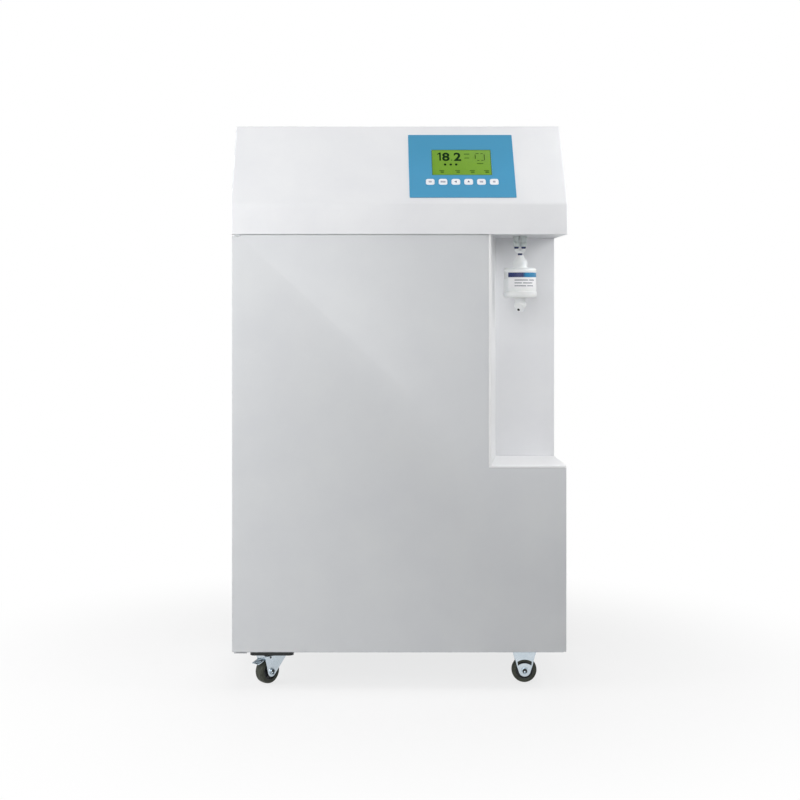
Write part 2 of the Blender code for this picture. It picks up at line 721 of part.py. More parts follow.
def build_control_panel():
    """The blue overlay, the display behind its window, the board behind both, and the keys."""
    overlay_loop = rectangle(
        OVERLAY_LEFT,
        OVERLAY_FOOT,
        OVERLAY_LEFT + OVERLAY_WIDTH,
        OVERLAY_FOOT + OVERLAY_HEIGHT,
    )
    loops = [overlay_loop, window_loop(0), *key_holes()]
    middle = slope_place(GAP + OVERLAY_SHEET / 2)
    plate("control_overlay", loops, OVERLAY_SHEET, middle, SLOPE, BLUE_FILM)

    display_face = -SHEET - GAP
    display_back = display_face - DISPLAY_DEPTH
    display = plate(
        "display_module",
        [window_loop(DISPLAY_RIM)],
        DISPLAY_DEPTH,
        slope_place(display_face - DISPLAY_DEPTH / 2),
        SLOPE,
        DISPLAY_GREEN,
    )
    glass_back = display_face - DISPLAY_DEPTH / 2
    glass = plate(
        "display_glass",
        [window_loop(-GAP)],
        OVERLAY_SHEET - glass_back,
        slope_place((OVERLAY_SHEET + glass_back) / 2),
        SLOPE,
        group=CUTTERS,
    )
    join(display, glass)

    board_face = display_back - GAP
    board_corners = (
        OVERLAY_LEFT + BOARD_MARGIN,
        OVERLAY_FOOT + BOARD_MARGIN,
        OVERLAY_LEFT + OVERLAY_WIDTH - BOARD_MARGIN,
        OVERLAY_FOOT + OVERLAY_HEIGHT - BOARD_MARGIN,
    )
    board = plate(
        "control_board",
        [rectangle(*board_corners)],
        BOARD_SHEET,
        slope_place(board_face - BOARD_SHEET / 2),
        SLOPE,
        BOARD_GREEN,
    )
    left, foot, right, head = board_corners
    reach = BOARD_MARGIN + STANDOFF_RADIUS
    standoffs = []
    for number, (across, up) in enumerate(
        rectangle(left + reach, foot + reach, right - reach, head - reach), 1
    ):
        start = slope_place(board_face - BOARD_SHEET / 2) + Vector((across, 0, 0)) + SLOPE_UP * up
        end = slope_place(-SHEET - GAP) + Vector((across, 0, 0)) + SLOPE_UP * up
        standoffs.append(helper_rod(f"standoff_{number}", start, end, STANDOFF_RADIUS))
    join(board, *standoffs)

    top = GAP + OVERLAY_SHEET + KEY_PROUD
    bottom = board_face + GAP + KEY_TRAVEL
    for index in range(KEY_COUNT):
        across, up = key_centre(index)
        at = slope_place((top + bottom) / 2) + Vector((across, 0, 0)) + SLOPE_UP * up
        plate(f"key_{index + 1}", [key_loop((0, 0), 0)], top - bottom, at, SLOPE, KEY_WHITE)


def build_niche():
    """The dispensing niche: a splayed side wall with its white strip, a back wall and a floor."""
    left = NICHE_LEFT + DOOR_EDGE_GAP
    wall_bottom = NICHE_FLOOR + GAP
    middle = (wall_bottom + HOOD_BOTTOM) / 2
    outline = [
        (left, DOOR_FRONT),
        (NICHE_INNER, DOOR_FRONT),
        (NICHE_BACK_LEFT, NICHE_BACK),
        (NICHE_BACK_LEFT - SHEET, NICHE_BACK),
        (NICHE_INNER - SHEET, DOOR_FRONT + SHEET),
        (left, DOOR_FRONT + SHEET),
    ]
    plate("niche_side_wall", [outline], HOOD_BOTTOM - wall_bottom, (0, 0, middle), PLAN, WHITE_ENAMEL)
    back_face = NICHE_BACK + GAP
    box(
        "niche_back_wall",
        (NICHE_BACK_LEFT - SHEET, back_face, wall_bottom),
        (SIDE, back_face + SHEET, HOOD_BOTTOM),
        WHITE_ENAMEL,
    )
    floor = box(
        "niche_floor",
        (left, DOOR_FRONT, NICHE_FLOOR - SHEET),
        (SIDE, back_face + SHEET, NICHE_FLOOR),
        WHITE_ENAMEL,
    )
    lip = helper_box(
        "niche_lip",
        (left, DOOR_FRONT, DOOR_SHOULDER + DOOR_EDGE_GAP),
        (SIDE, DOOR_FRONT + SHEET, NICHE_FLOOR),
    )
    join(floor, lip)


def build_front_door():
    """The L-shaped door, a pan open at the back, with its origin on the hinge's axis."""
    outline = [
        (DOOR_LEFT, PANEL_BOTTOM),
        (SIDE, PANEL_BOTTOM),
        (SIDE, DOOR_SHOULDER),
        (NICHE_LEFT, DOOR_SHOULDER),
        (NICHE_LEFT, DOOR_TOP),
        (DOOR_LEFT, DOOR_TOP),
    ]
    from_axis = [(across - PIVOT_X, up) for across, up in outline]
    door = plate("front_door", [from_axis], DOOR_DEPTH, (PIVOT_X, PIVOT_Y, 0), FACING, GREY_ENAMEL)
    pocket = plate(
        "door_pocket",
        [inset(from_axis, SHEET)],
        DOOR_DEPTH,
        (PIVOT_X, PIVOT_Y + SHEET, 0),
        FACING,
        group=CUTTERS,
    )
    cutters = [pocket]
    for name, height in (("door_lower_bore", PANEL_BOTTOM), ("door_upper_bore", DOOR_TOP)):
        start = (PIVOT_X, PIVOT_Y, height - OVERRUN)
        end = (PIVOT_X, PIVOT_Y, height + OVERRUN)
        cutters.append(helper_rod(name, start, end, PIVOT_RADIUS + GAP))
    return cut(door, *cutters)


def build_hinges():
    """A bracket with an upright pin on the pan's floor, and one with a hanging pin under the deck."""
    left = -SIDE + 2 * (SHEET + GAP)
    front = PIVOT_Y - PIVOT_RADIUS - HINGE_SHEET
    rear = PANEL_FRONT + HINGE_TAIL
    places = (
        ("hinge_bracket_lower", PAN_FLOOR + GAP, PANEL_BOTTOM + PIVOT_LENGTH),
        ("hinge_bracket_upper", DECK_BOTTOM - GAP - HINGE_SHEET, DOOR_TOP - PIVOT_LENGTH),
    )
    for name, bottom, pin_end in places:
        bracket = box(
            name, (left, front, bottom), (left + HINGE_WIDTH, rear, bottom + HINGE_SHEET), ZINC
        )
        root = (PIVOT_X, PIVOT_Y, bottom + HINGE_SHEET / 2)
        join(bracket, helper_rod(name + "_pin", root, (PIVOT_X, PIVOT_Y, pin_end), PIVOT_RADIUS))


def build_door_catch():
    """The magnetic catch, between the right side panel's front flange and the door's skin."""
    left = SIDE - PANEL_FLANGE
    bottom = PANEL_BOTTOM + CATCH_RISE
    box(
        "door_catch",
        (left, DOOR_FRONT + SHEET + GAP, bottom),
        (left + CATCH_WIDTH, PANEL_FRONT - GAP, bottom + CATCH_HEIGHT),
        MAGNET,
    )


def build_dispensing_fittings():
    """Two push-fit fittings through the deck, and the connector that joins them to the filter."""
    nut_bottom = SHEET + GAP
    nut_top = nut_bottom + FITTING_NUT_HEIGHT
    profile = [
        (0, nut_top + FITTING_STUB),
        (FITTING_THREAD_RADIUS, nut_top + FITTING_STUB),
        (FITTING_THREAD_RADIUS, nut_top),
        (FITTING_NUT_RADIUS, nut_top),
        (FITTING_NUT_RADIUS, nut_bottom),
        (FITTING_THREAD_RADIUS, nut_bottom),
        (FITTING_THREAD_RADIUS, -GAP),
        (FITTING_RADIUS, -GAP),
        (FITTING_RADIUS, -FITTING_DROP),
        (COLLET_RADIUS, -FITTING_DROP),
        (COLLET_RADIUS, -FITTING_DROP - COLLET_DROP),
        (0, -FITTING_DROP - COLLET_DROP),
    ]
    for name, hand in (("dispense_fitting_left", -1), ("dispense_fitting_right", 1)):
        at = (FILTER_X + hand * FITTING_SPREAD / 2, FILTER_Y, DECK_BOTTOM)
        turned(name, profile, at, WHITE_PLASTIC, sides=SMALL_SIDES)

    yoke_height = WYE_TOP - WYE_STUB - WYE_RADIUS
    half = FITTING_SPREAD / 2
    connector = rod(
        "wye_connector",
        (FILTER_X - half - WYE_RADIUS, FILTER_Y, yoke_height),
        (FILTER_X + half + WYE_RADIUS, FILTER_Y, yoke_height),
        WYE_RADIUS,
        WHITE_PLASTIC,
    )
    stubs = [
        helper_rod(
            f"wye_stub_{number}",
            (FILTER_X + hand * half, FILTER_Y, yoke_height),
            (FILTER_X + hand * half, FILTER_Y, WYE_TOP),
            WYE_STUB_RADIUS,
        )
        for number, hand in enumerate((-1, 1), 1)
    ]
    stem = helper_rod(
        "wye_stem",
        (FILTER_X, FILTER_Y, yoke_height),
        (FILTER_X, FILTER_Y, NECK_TOP + GAP),
        WYE_COLLAR_RADIUS,
    )
    join(connector, *stubs, stem)


def build_filter():
    """The capsule filter and the outlet nozzle under it."""
    shoulder = -NECK_HEIGHT
    base = shoulder - CAPSULE_HEIGHT
    profile = [
        (0, 0),
        (NECK_RADIUS, 0),
        (NECK_RADIUS, shoulder),
        (CAPSULE_RADIUS - CAPSULE_SHOULDER, shoulder),
        (CAPSULE_RADIUS, shoulder - CAPSULE_SHOULDER),
        (CAPSULE_RADIUS, base + CAPSULE_SHOULDER),
        (CAPSULE_RADIUS - CAPSULE_SHOULDER, base),
        (LOWER_NECK_RADIUS, base),
        (LOWER_NECK_RADIUS, base - LOWER_NECK_HEIGHT),
        (0, base - LOWER_NECK_HEIGHT),
    ]
    turned("filter_capsule", profile, (FILTER_X, FILTER_Y, NECK_TOP), WHITE_PLASTIC)
    profile = [
        (0, 0),
        (NOZZLE_RADIUS, 0),
        (NOZZLE_RADIUS, -NOZZLE_HEIGHT / 2),
        (NOZZLE_TIP_RADIUS, -NOZZLE_HEIGHT),
        (NOZZLE_BORE, -NOZZLE_HEIGHT),
        (NOZZLE_BORE, NOZZLE_SOCKET - NOZZLE_HEIGHT),
        (0, NOZZLE_SOCKET - NOZZLE_HEIGHT),
    ]
    top = NECK_TOP + base - LOWER_NECK_HEIGHT - GAP
    turned("outlet_nozzle", profile, (FILTER_X, FILTER_Y, top), WHITE_PLASTIC)


def caster_axes(turn):
    """Axes of a caster's own side view: along its trail, up, and along its axle."""
    along = Vector((math.cos(turn), math.sin(turn), 0))
    up = Vector((0, 0, 1))
    return Matrix((along, up, along.cross(up))).transposed()


def tangent_turn(point, centre, radius, side):
    """The angle on a circle where a line from the point touches it, on the given side."""
    away = Vector(point) - Vector(centre)
    return math.atan2(away.y, away.x) + side * math.acos(radius / away.length)


def leg_outline(axle, uppers):
    """A fork leg: round at the axle, straight to the upper points, which are listed on the left side.

    The right side mirrors them about the swivel's axis.
    """
    left = uppers
    right = [(-across, up) for across, up in reversed(uppers)]
    start = tangent_turn(left[-1], axle, FORK_EYE_RADIUS, 1)
    end = tangent_turn(right[0], axle, FORK_EYE_RADIUS, -1) + 2 * math.pi
    return left + arc(axle, FORK_EYE_RADIUS, start % (2 * math.pi), end, FORK_ARC_STEPS) + right


def fork_legs(name, outline, holes, place, axes):
    """Both legs of a fork, one on each side of the wheel."""
    offset = LEG_INNER + FORK_SHEET / 2
    return [
        plate(
            f"{name}_leg_{number}",
            [outline, *holes],
            FORK_SHEET,
            Vector(place) + hand * offset * axes.col[2],
            axes,
            group=CUTTERS,
        )
        for number, hand in enumerate((-1, 1), 1)
    ]


def build_wheel_and_axle(corner, centre, axes):
    """A wheel with recessed sides and its through-bolt, both about the axle."""
    axle = axes.col[2]
    down = Matrix.Rotation(math.pi / WHEEL_SIDES, 3, axle) @ Vector((0, 0, -1))
    frame = Matrix((down, axle.cross(down), axle)).transposed()
    half = WHEEL_WIDTH / 2
    side = [
        (AXLE_RADIUS + AXLE_CLEARANCE, half),
        (HUB_RADIUS, half),
        (HUB_RADIUS, half - HUB_RECESS),
        (HUB_RECESS_RADIUS, half - HUB_RECESS),
        (HUB_RECESS_RADIUS, half),
        (WHEEL_RADIUS - WHEEL_CROWN, half),
        (WHEEL_RADIUS, half - WHEEL_CROWN),
    ]
    profile = side + [(radius, -along) for radius, along in reversed(side)]
    turned(f"caster_wheel_{corner}", profile, centre, RUBBER, sides=WHEEL_SIDES, axes=frame)
    seat = LEG_INNER + FORK_SHEET + GAP
    end = seat + AXLE_HEAD_HEIGHT
    profile = [
        (0, end),
        (AXLE_HEAD_RADIUS, end),
        (AXLE_HEAD_RADIUS, seat),
        (AXLE_RADIUS, seat),
        (AXLE_RADIUS, -seat),
        (AXLE_HEAD_RADIUS, -seat),
        (AXLE_HEAD_RADIUS, -end),
        (0, -end),
    ]
    turned(f"caster_axle_{corner}", profile, centre, ZINC, sides=SMALL_SIDES, axes=frame)


def build_swivel_caster(corner, place, turn):
    """A braked swivel caster: mount, fork with its kingpin, wheel, axle and brake lever."""
    x, y = place
    mount_top = PAN_BOTTOM - GAP
    mount_bottom = mount_top - MOUNT_HEIGHT
    half_length, half_width = MOUNT_LENGTH / 2, MOUNT_WIDTH / 2
    mount = box(
        f"caster_mount_{corner}",
        (x - half_length, y - half_width, mount_bottom),
        (x + half_length, y + half_width, mount_top),
        BLACK_STEEL,
    )
    pocket = helper_box(
        f"mount_pocket_{corner}",
        (x - half_length + MOUNT_WALL, y - half_width + MOUNT_WALL, mount_bottom - OVERRUN),
        (x + half_length - MOUNT_WALL, y + half_width - MOUNT_WALL, mount_top - MOUNT_WALL),
    )
    race = helper_rod(
        f"mount_race_{corner}", (x, y, mount_top - MOUNT_WALL / 2), (x, y, mount_bottom), RACE_RADIUS
    )
    bore = helper_rod(
        f"mount_bore_{corner}",
        (x, y, mount_bottom + KINGPIN_LENGTH + GAP),
        (x, y, mount_bottom - OVERRUN),
        RACE_BORE,
    )
    cut(mount, pocket)
    join(mount, race)
    cut(mount, bore)

    axes = caster_axes(turn)
    along = axes.col[0]
    width = 2 * LEG_INNER + FORK_SHEET
    crown_place = (x, y, FORK_TOP - FORK_CROWN_SHEET / 2)
    crown_axes = Matrix((along, Vector((0, 0, 1)).cross(along), Vector((0, 0, 1)))).transposed()
    half = FORK_TOP_HALF - GAP
    crown_loop = rectangle(-half, -width / 2, half, width / 2)
    fork = plate(f"caster_fork_{corner}", [crown_loop], FORK_CROWN_SHEET, crown_place, crown_axes, ZINC)
    axle = (TRAIL, AXLE_HEIGHT)
    brake_pivot = (BRAKE_REACH, FORK_TOP - BRAKE_PIVOT_DROP)
    holes = [
        circle(axle, AXLE_RADIUS + AXLE_CLEARANCE),
        circle(brake_pivot, BRAKE_PIN_RADIUS + BRAKE_PIN_CLEARANCE),
    ]
    outline = leg_outline(axle, [(-FORK_TOP_HALF, FORK_TOP)])
    legs = fork_legs(f"fork_{corner}", outline, holes, (x, y, 0), axes)
    kingpin = helper_rod(
        f"kingpin_{corner}",
        (x, y, FORK_TOP - FORK_CROWN_SHEET / 2),
        (x, y, mount_bottom + KINGPIN_LENGTH),
        KINGPIN_RADIUS,
    )
    join(fork, *legs, kingpin)

    centre = Vector((x, y, AXLE_HEIGHT)) + along * TRAIL
    build_wheel_and_axle(corner, centre, axes)
    build_brake_lever(corner, Vector((x, y, 0)) + along * brake_pivot[0], brake_pivot[1], axes)


def build_brake_lever(corner, place, height, axes):
    """A pressed lever on a cross pin, which tips down onto the tread. Its origin is on the pin."""
    along, _, axle = axes.col
    at = place + Vector((0, 0, height))
    half = LEG_INNER + FORK_SHEET
    lever = rod(
        f"brake_lever_{corner}",
        at - axle * half,
        at + axle * half,
        BRAKE_PIN_RADIUS,
        ZINC,
    )
    down = math.cos(BRAKE_LEVER_SLOPE) * along - math.sin(BRAKE_LEVER_SLOPE) * Vector((0, 0, 1))
    frame = Matrix((down, axle, down.cross(axle))).transposed()
    half_width = BRAKE_LEVER_WIDTH / 2
    tab = plate(
        f"brake_tab_{corner}",
        [rectangle(0, -half_width, BRAKE_LEVER_LENGTH, half_width)],
        BRAKE_LEVER_SHEET,
        at,
        frame,
        group=CUTTERS,
    )
    join(lever, tab)


def build_rigid_caster(corner, place):
    """A rigid caster, whose wheel rolls across the cabinet's front."""
    x, y = place
    axes = caster_axes(0)
    top = PAN_BOTTOM - GAP
    half_length = RIGID_PLATE_LENGTH / 2
    fork = box(
        f"caster_fork_{corner}",
        (x - RIGID_TOP_HALF, y - half_length, top - FORK_SHEET),
        (x + RIGID_TOP_HALF, y + half_length, top),
        ZINC,
    )
    axle = (0, AXLE_HEIGHT)
    uppers = [(-RIGID_TOP_HALF, top), (-RIGID_WAIST_HALF, top - RIGID_WAIST_DROP)]
    hole = circle(axle, AXLE_RADIUS + AXLE_CLEARANCE)
    join(fork, *fork_legs(f"fork_{corner}", leg_outline(axle, uppers), [hole], (x, y, 0), axes))
    build_wheel_and_axle(corner, Vector((x, y, AXLE_HEIGHT)), axes)


def build_casters():
    left, right = -SIDE + CASTER_SIDE_INSET, SIDE - CASTER_SIDE_INSET
    front, rear = FRONT + CASTER_END_INSET, BACK - CASTER_END_INSET
    build_swivel_caster("front_left", (left, front), FRONT_SWIVEL_TURN)
    build_swivel_caster("rear_left", (left, rear), REAR_SWIVEL_TURN)
    build_rigid_caster("front_right", (right, front))
    build_rigid_caster("rear_right", (right, rear))


def build_mounting_plate():
    """The upright plate that carries the treatment train, standing on the pan under the deck."""
    bottom, top = PAN_FLOOR + GAP, DECK_BOTTOM - GAP
    loops = [
        rectangle(PLATE_LEFT, bottom, PLATE_RIGHT, top),
        circle((SUMP_LEFT, FEED_HOLE_HEIGHT), TUBE_RADIUS + GROMMET_CLEARANCE),
    ]
    middle = (0, PLATE_FRONT + PLATE_SHEET / 2, 0)
    plate("mounting_plate", loops, PLATE_SHEET, middle, FACING, GALVANISED)


def build_prefilters():
    """The manifold and the two sumps screwed up into it."""
    rear = PLATE_FRONT - GAP
    reach = SUMP_RADIUS + MANIFOLD_MARGIN
    right = SUMP_LEFT + SUMP_PITCH
    manifold = box(
        "prefilter_manifold",
        (SUMP_LEFT - reach, rear - 2 * SUMP_RADIUS - MANIFOLD_MARGIN, MANIFOLD_BOTTOM),
        (right + reach, rear, MANIFOLD_TOP),
        BLUE_PLASTIC,
    )
    ports = [
        helper_rod(
            f"manifold_port_{number}",
            (x, SUMP_Y, MANIFOLD_BOTTOM + MANIFOLD_HEIGHT / 2),
            (x, SUMP_Y, MANIFOLD_PORT_TOP),
            PORT_RADIUS,
        )
        for number, x in enumerate((SUMP_LEFT, right), 1)
    ]
    join(manifold, *ports)
    profile = [
        (0, 0),
        (SUMP_RADIUS, 0),
        (SUMP_RADIUS, -SUMP_COLLAR),
        (SUMP_RADIUS - SUMP_STEP, -SUMP_COLLAR),
        (SUMP_RADIUS - SUMP_STEP, SUMP_FOOT - SUMP_HEIGHT),
        (SUMP_RADIUS - SUMP_STEP - SUMP_FOOT, -SUMP_HEIGHT),
        (0, -SUMP_HEIGHT),
    ]
    for name, x in (("prefilter_sump_left", SUMP_LEFT), ("prefilter_sump_right", right)):
        turned(name, profile, (x, SUMP_Y, MANIFOLD_BOTTOM - GAP), WHITE_PLASTIC)


def build_vessel(name, x, radius, look):
    """An upright pressure vessel with wider end caps and a port at each end."""
    top = VESSEL_HEIGHT
    profile = [
        (0, top + PORT_HEIGHT),
        (PORT_RADIUS, top + PORT_HEIGHT),
        (PORT_RADIUS, top),
        (radius, top),
        (radius, top - VESSEL_CAP),
        (radius - VESSEL_STEP, top - VESSEL_CAP),
        (radius - VESSEL_STEP, VESSEL_CAP),
        (radius, VESSEL_CAP),
        (radius, 0),
        (PORT_RADIUS, 0),
        (PORT_RADIUS, -PORT_HEIGHT),
        (0, -PORT_HEIGHT),
    ]
    turned(name, profile, (x, PLATE_FRONT - GAP - radius, VESSEL_BOTTOM), look)


def build_booster_pump():
    """The pump: a square head on a round motor, on one foot that stands on the pan."""
    foot_bottom = PAN_FLOOR + GAP
    head_left = PUMP_RIGHT - PUMP_HEAD_LENGTH
    half = PUMP_HEAD_SIZE / 2
    head = box(
        "booster_pump",
        (head_left, PUMP_Y - half, PUMP_AXIS_HEIGHT - half),
        (PUMP_RIGHT, PUMP_Y + half, PUMP_AXIS_HEIGHT + half),
        BLACK_PLASTIC,
    )
    motor = helper_rod(
        "pump_motor",
        (head_left - PUMP_MOTOR_LENGTH, PUMP_Y, PUMP_AXIS_HEIGHT),
        (head_left + OVERRUN, PUMP_Y, PUMP_AXIS_HEIGHT),
        PUMP_MOTOR_RADIUS,
        TURNED_SIDES,
    )
    foot = helper_box(
        "pump_foot",
        (head_left - PUMP_MOTOR_LENGTH / 2, PUMP_Y - half / 2, foot_bottom),
        (PUMP_RIGHT, PUMP_Y + half / 2, PUMP_AXIS_HEIGHT),
    )
    inlet = helper_rod(
        "pump_inlet",
        (PUMP_PORT_X, PUMP_Y, PUMP_AXIS_HEIGHT),
        (PUMP_PORT_X, PUMP_Y, PUMP_PORT_TOP),
        PORT_RADIUS,
    )
    outlet = helper_rod(
        "pump_outlet",
        (PUMP_PORT_X, PUMP_Y, PUMP_AXIS_HEIGHT),
        (PUMP_RIGHT + PORT_HEIGHT, PUMP_Y, PUMP_AXIS_HEIGHT),
        PORT_RADIUS,
    )
    join(head, motor, foot, inlet, outlet)


def build_power_supply():
    bottom = FEED_HOLE_HEIGHT + SUPPLY_CLEARANCE
    rear = PLATE_FRONT - GAP
    box(
        "power_supply",
        (PLATE_LEFT + SUPPLY_MARGIN, rear - SUPPLY_DEPTH, bottom),
        (PLATE_LEFT + SUPPLY_MARGIN + SUPPLY_WIDTH, rear, bottom + SUPPLY_HEIGHT),
        GALVANISED,
    )


def build_port_block():
    """The block of hose ports in the rear panel: feed, reject and tank."""
    left, bottom, right, top = port_block_corners(0)
    block = box(
        "rear_port_block",
        (left, BACK - PORT_BLOCK_DEPTH, bottom),
        (right, BACK + PORT_BLOCK_FACE / 2, top),
        BLACK_PLASTIC,
    )
    left, bottom, right, top = port_block_corners(FACE_MARGIN)
    face = helper_box("port_face", (left, BACK + GAP, bottom), (right, BACK + PORT_BLOCK_FACE, top))
    barbs = [
        helper_rod(
            f"port_barb_{number + 1}",
            (PORT_BLOCK_X + (number - 1) * BARB_PITCH, BACK, PORT_HEIGHT_ABOVE_FLOOR),
            (PORT_BLOCK_X + (number - 1) * BARB_PITCH, BACK + REAR_REACH, PORT_HEIGHT_ABOVE_FLOOR),
            BARB_RADIUS,
        )
        for number in range(BARB_COUNT)
    ]
    join(block, face, *barbs)


def build_mains_inlet():
    """The mains inlet with its socket recess, and the rocker switch in the recess above it."""
    left, bottom, right, top = inlet_corners(0)
    inlet = box(
        "mains_inlet",
        (left, BACK - INLET_DEPTH, bottom),
        (right, BACK + INLET_FACE / 2, top),
        BLACK_PLASTIC,
    )
    left, bottom, right, top = inlet_corners(FACE_MARGIN)
    face_back = BACK + INLET_FACE
    face = helper_box("inlet_face", (left, BACK + GAP, bottom), (right, face_back, top))
    middle = PANEL_BOTTOM + INLET_RISE + INLET_HEIGHT / 2
    socket_middle = middle - SOCKET_OFFSET
    socket = helper_box(
        "inlet_socket",
        (INLET_X - SOCKET_WIDTH / 2, face_back - SOCKET_DEPTH, socket_middle - SOCKET_HEIGHT / 2),
        (INLET_X + SOCKET_WIDTH / 2, face_back + OVERRUN, socket_middle + SOCKET_HEIGHT / 2),
    )
    switch_middle = middle + SWITCH_OFFSET
    reach = SWITCH_HEIGHT / 2 + SWITCH_CLEARANCE
    half = SWITCH_WIDTH / 2 + GAP
    recess_back = face_back - SWITCH_DEPTH - SWITCH_CLEARANCE
    recess = helper_box(
        "switch_recess",
        (INLET_X - half, recess_back, switch_middle - reach),
        (INLET_X + half, face_back + OVERRUN, switch_middle + reach),
    )
    join(inlet, face)
    cut(inlet, socket, recess)
    build_switch(face_back, switch_middle)


def build_switch(face_back, height):
    """The rocker, resting at off. Its origin is on its own hinge line, at the inlet's face."""
    shape = bmesh.new()
    bmesh.ops.create_cube(shape, size=1)
    depth = SWITCH_DEPTH + SWITCH_PROUD
    size = Vector((SWITCH_WIDTH, depth, SWITCH_HEIGHT))
    bmesh.ops.scale(shape, vec=size, verts=shape.verts)
    bmesh.ops.translate(shape, vec=Vector((0, SWITCH_PROUD - depth / 2, 0)), verts=shape.verts)
    frame = Matrix.Translation((INLET_X, face_back, height)) @ Matrix.Rotation(SWITCH_TILT, 4, "X")
    link("power_switch", mesh_from("power_switch", shape), frame, BLACK_PLASTIC)


def build_tubes():
    """The tubes that join the treatment train, each from port to port."""
    bend = TUBE_BEND
    up, ahead, across = Vector((0, 0, 1)), Vector((0, -1, 0)), Vector((1, 0, 0))
    manifold_in = Vector((SUMP_LEFT, SUMP_Y, MANIFOLD_PORT_TOP + GAP))
    manifold_out = manifold_in + across * SUMP_PITCH
    rear_port = Vector((PORT_BLOCK_X - BARB_PITCH, BACK - PORT_BLOCK_DEPTH - GAP, PORT_HEIGHT_ABOVE_FLOOR))
    behind = (PLATE_FRONT + PLATE_SHEET + BACK) / 2
    feed_route = [
        rear_port,
        rear_port + ahead * bend,
        Vector((SUMP_LEFT, behind, PORT_HEIGHT_ABOVE_FLOOR + 2 * bend)),
        Vector((SUMP_LEFT, behind, FEED_HOLE_HEIGHT - 2 * bend)),
        Vector((SUMP_LEFT, behind + ahead.y * bend, FEED_HOLE_HEIGHT - bend / 2)),
        Vector((SUMP_LEFT, PLATE_FRONT + PLATE_SHEET / 2, FEED_HOLE_HEIGHT)),
        manifold_in + up * bend,
        manifold_in,
    ]
    tube("feed_tube", feed_route, TUBE_RADIUS, WHITE_PLASTIC)

    pump_in = Vector((PUMP_PORT_X, PUMP_Y, PUMP_PORT_TOP + GAP))
    suction_route = [
        manifold_out,
        manifold_out + up * bend,
        (manifold_out + Vector((PUMP_PORT_X, PUMP_Y, manifold_out.z))) / 2 + up * 2 * bend,
        Vector((PUMP_PORT_X, PUMP_Y, manifold_out.z + bend)),
        pump_in + up * 2 * bend,
        pump_in,
    ]
    tube("suction_tube", suction_route, TUBE_RADIUS, WHITE_PLASTIC)

    pump_out = Vector((PUMP_RIGHT + PORT_HEIGHT + GAP, PUMP_Y, PUMP_AXIS_HEIGHT))
    ro_y, di_y = PLATE_FRONT - GAP - RO_RADIUS, PLATE_FRONT - GAP - DI_RADIUS
    vessel_bottom = VESSEL_BOTTOM - PORT_HEIGHT - GAP
    vessel_top = VESSEL_BOTTOM + VESSEL_HEIGHT + PORT_HEIGHT + GAP
    ro_in = Vector((RO_X, ro_y, vessel_bottom))
    pressure_route = [
        pump_out,
        pump_out + across * bend / 2,
        ro_in - up * bend,
        ro_in,
    ]
    tube("pressure_tube", pressure_route, TUBE_RADIUS, WHITE_PLASTIC)

    ro_out, di_in = Vector((RO_X, ro_y, vessel_top)), Vector((DI_X, di_y, vessel_top))
    permeate_route = [
        ro_out,
        ro_out + up * bend,
        (ro_out + di_in) / 2 + up * 2 * bend,
        di_in + up * bend,
        di_in,
    ]
    tube("permeate_tube", permeate_route, TUBE_RADIUS, WHITE_PLASTIC)

    di_out = Vector((DI_X, di_y, vessel_bottom))
    riser_foot = Vector((RISER_X, RISER_Y, vessel_bottom))
    fitting_top = Vector((FILTER_X - FITTING_SPREAD / 2, FILTER_Y, FITTING_TOP + GAP))
    product_route = [
        di_out,
        di_out - up * bend,
        (di_out + riser_foot) / 2 - up * 2 * bend,
        riser_foot - up * bend,
        riser_foot + up * bend,
        Vector((RISER_X, RISER_Y, DECK_BOTTOM - bend)),
        Vector((RISER_X, RISER_Y, DECK_TOP + bend)),
        (Vector((RISER_X, RISER_Y, fitting_top.z)) + fitting_top) / 2 + up * 2 * bend,
        fitting_top + up * bend,
        fitting_top,
    ]
    tube("product_tube", product_route, TUBE_RADIUS, WHITE_PLASTIC)


def build():
    """Every piece of the purifier, from the cabinet inwards."""
    build_base_pan()
    build_left_side_panel()
    build_right_side_panel()
    build_rear_panel()
    build_hood_deck()
    build_hood_cover()
    build_control_panel()
    build_niche()
    build_front_door()
    build_hinges()
    build_door_catch()
    build_dispensing_fittings()
    build_filter()
    build_casters()
    build_mounting_plate()
    build_prefilters()
    build_vessel("ro_vessel", RO_X, RO_RADIUS, WHITE_PLASTIC)
    build_vessel("di_column", DI_X, DI_RADIUS, BLUE_PLASTIC)
    build_booster_pump()
    build_power_supply()
    build_port_block()
    build_mains_inlet()
    build_tubes()


build()
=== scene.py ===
"""The looks of a floor-standing laboratory water purifier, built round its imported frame.

Each sub-assembly is a class that models its pieces at their places in the frame, in metres, gives
them their finishes and lets them ride on the bodies that carry them.
"""

import logging
import math
from collections.abc import Callable, Iterable, Iterator, Sequence
from contextlib import contextmanager
from dataclasses import dataclass
from enum import Enum
from functools import cache

import bmesh
import bpy
from bpy.types import Material, Node, NodeSocket, NodeTree, Object
from mathutils import Matrix, Vector


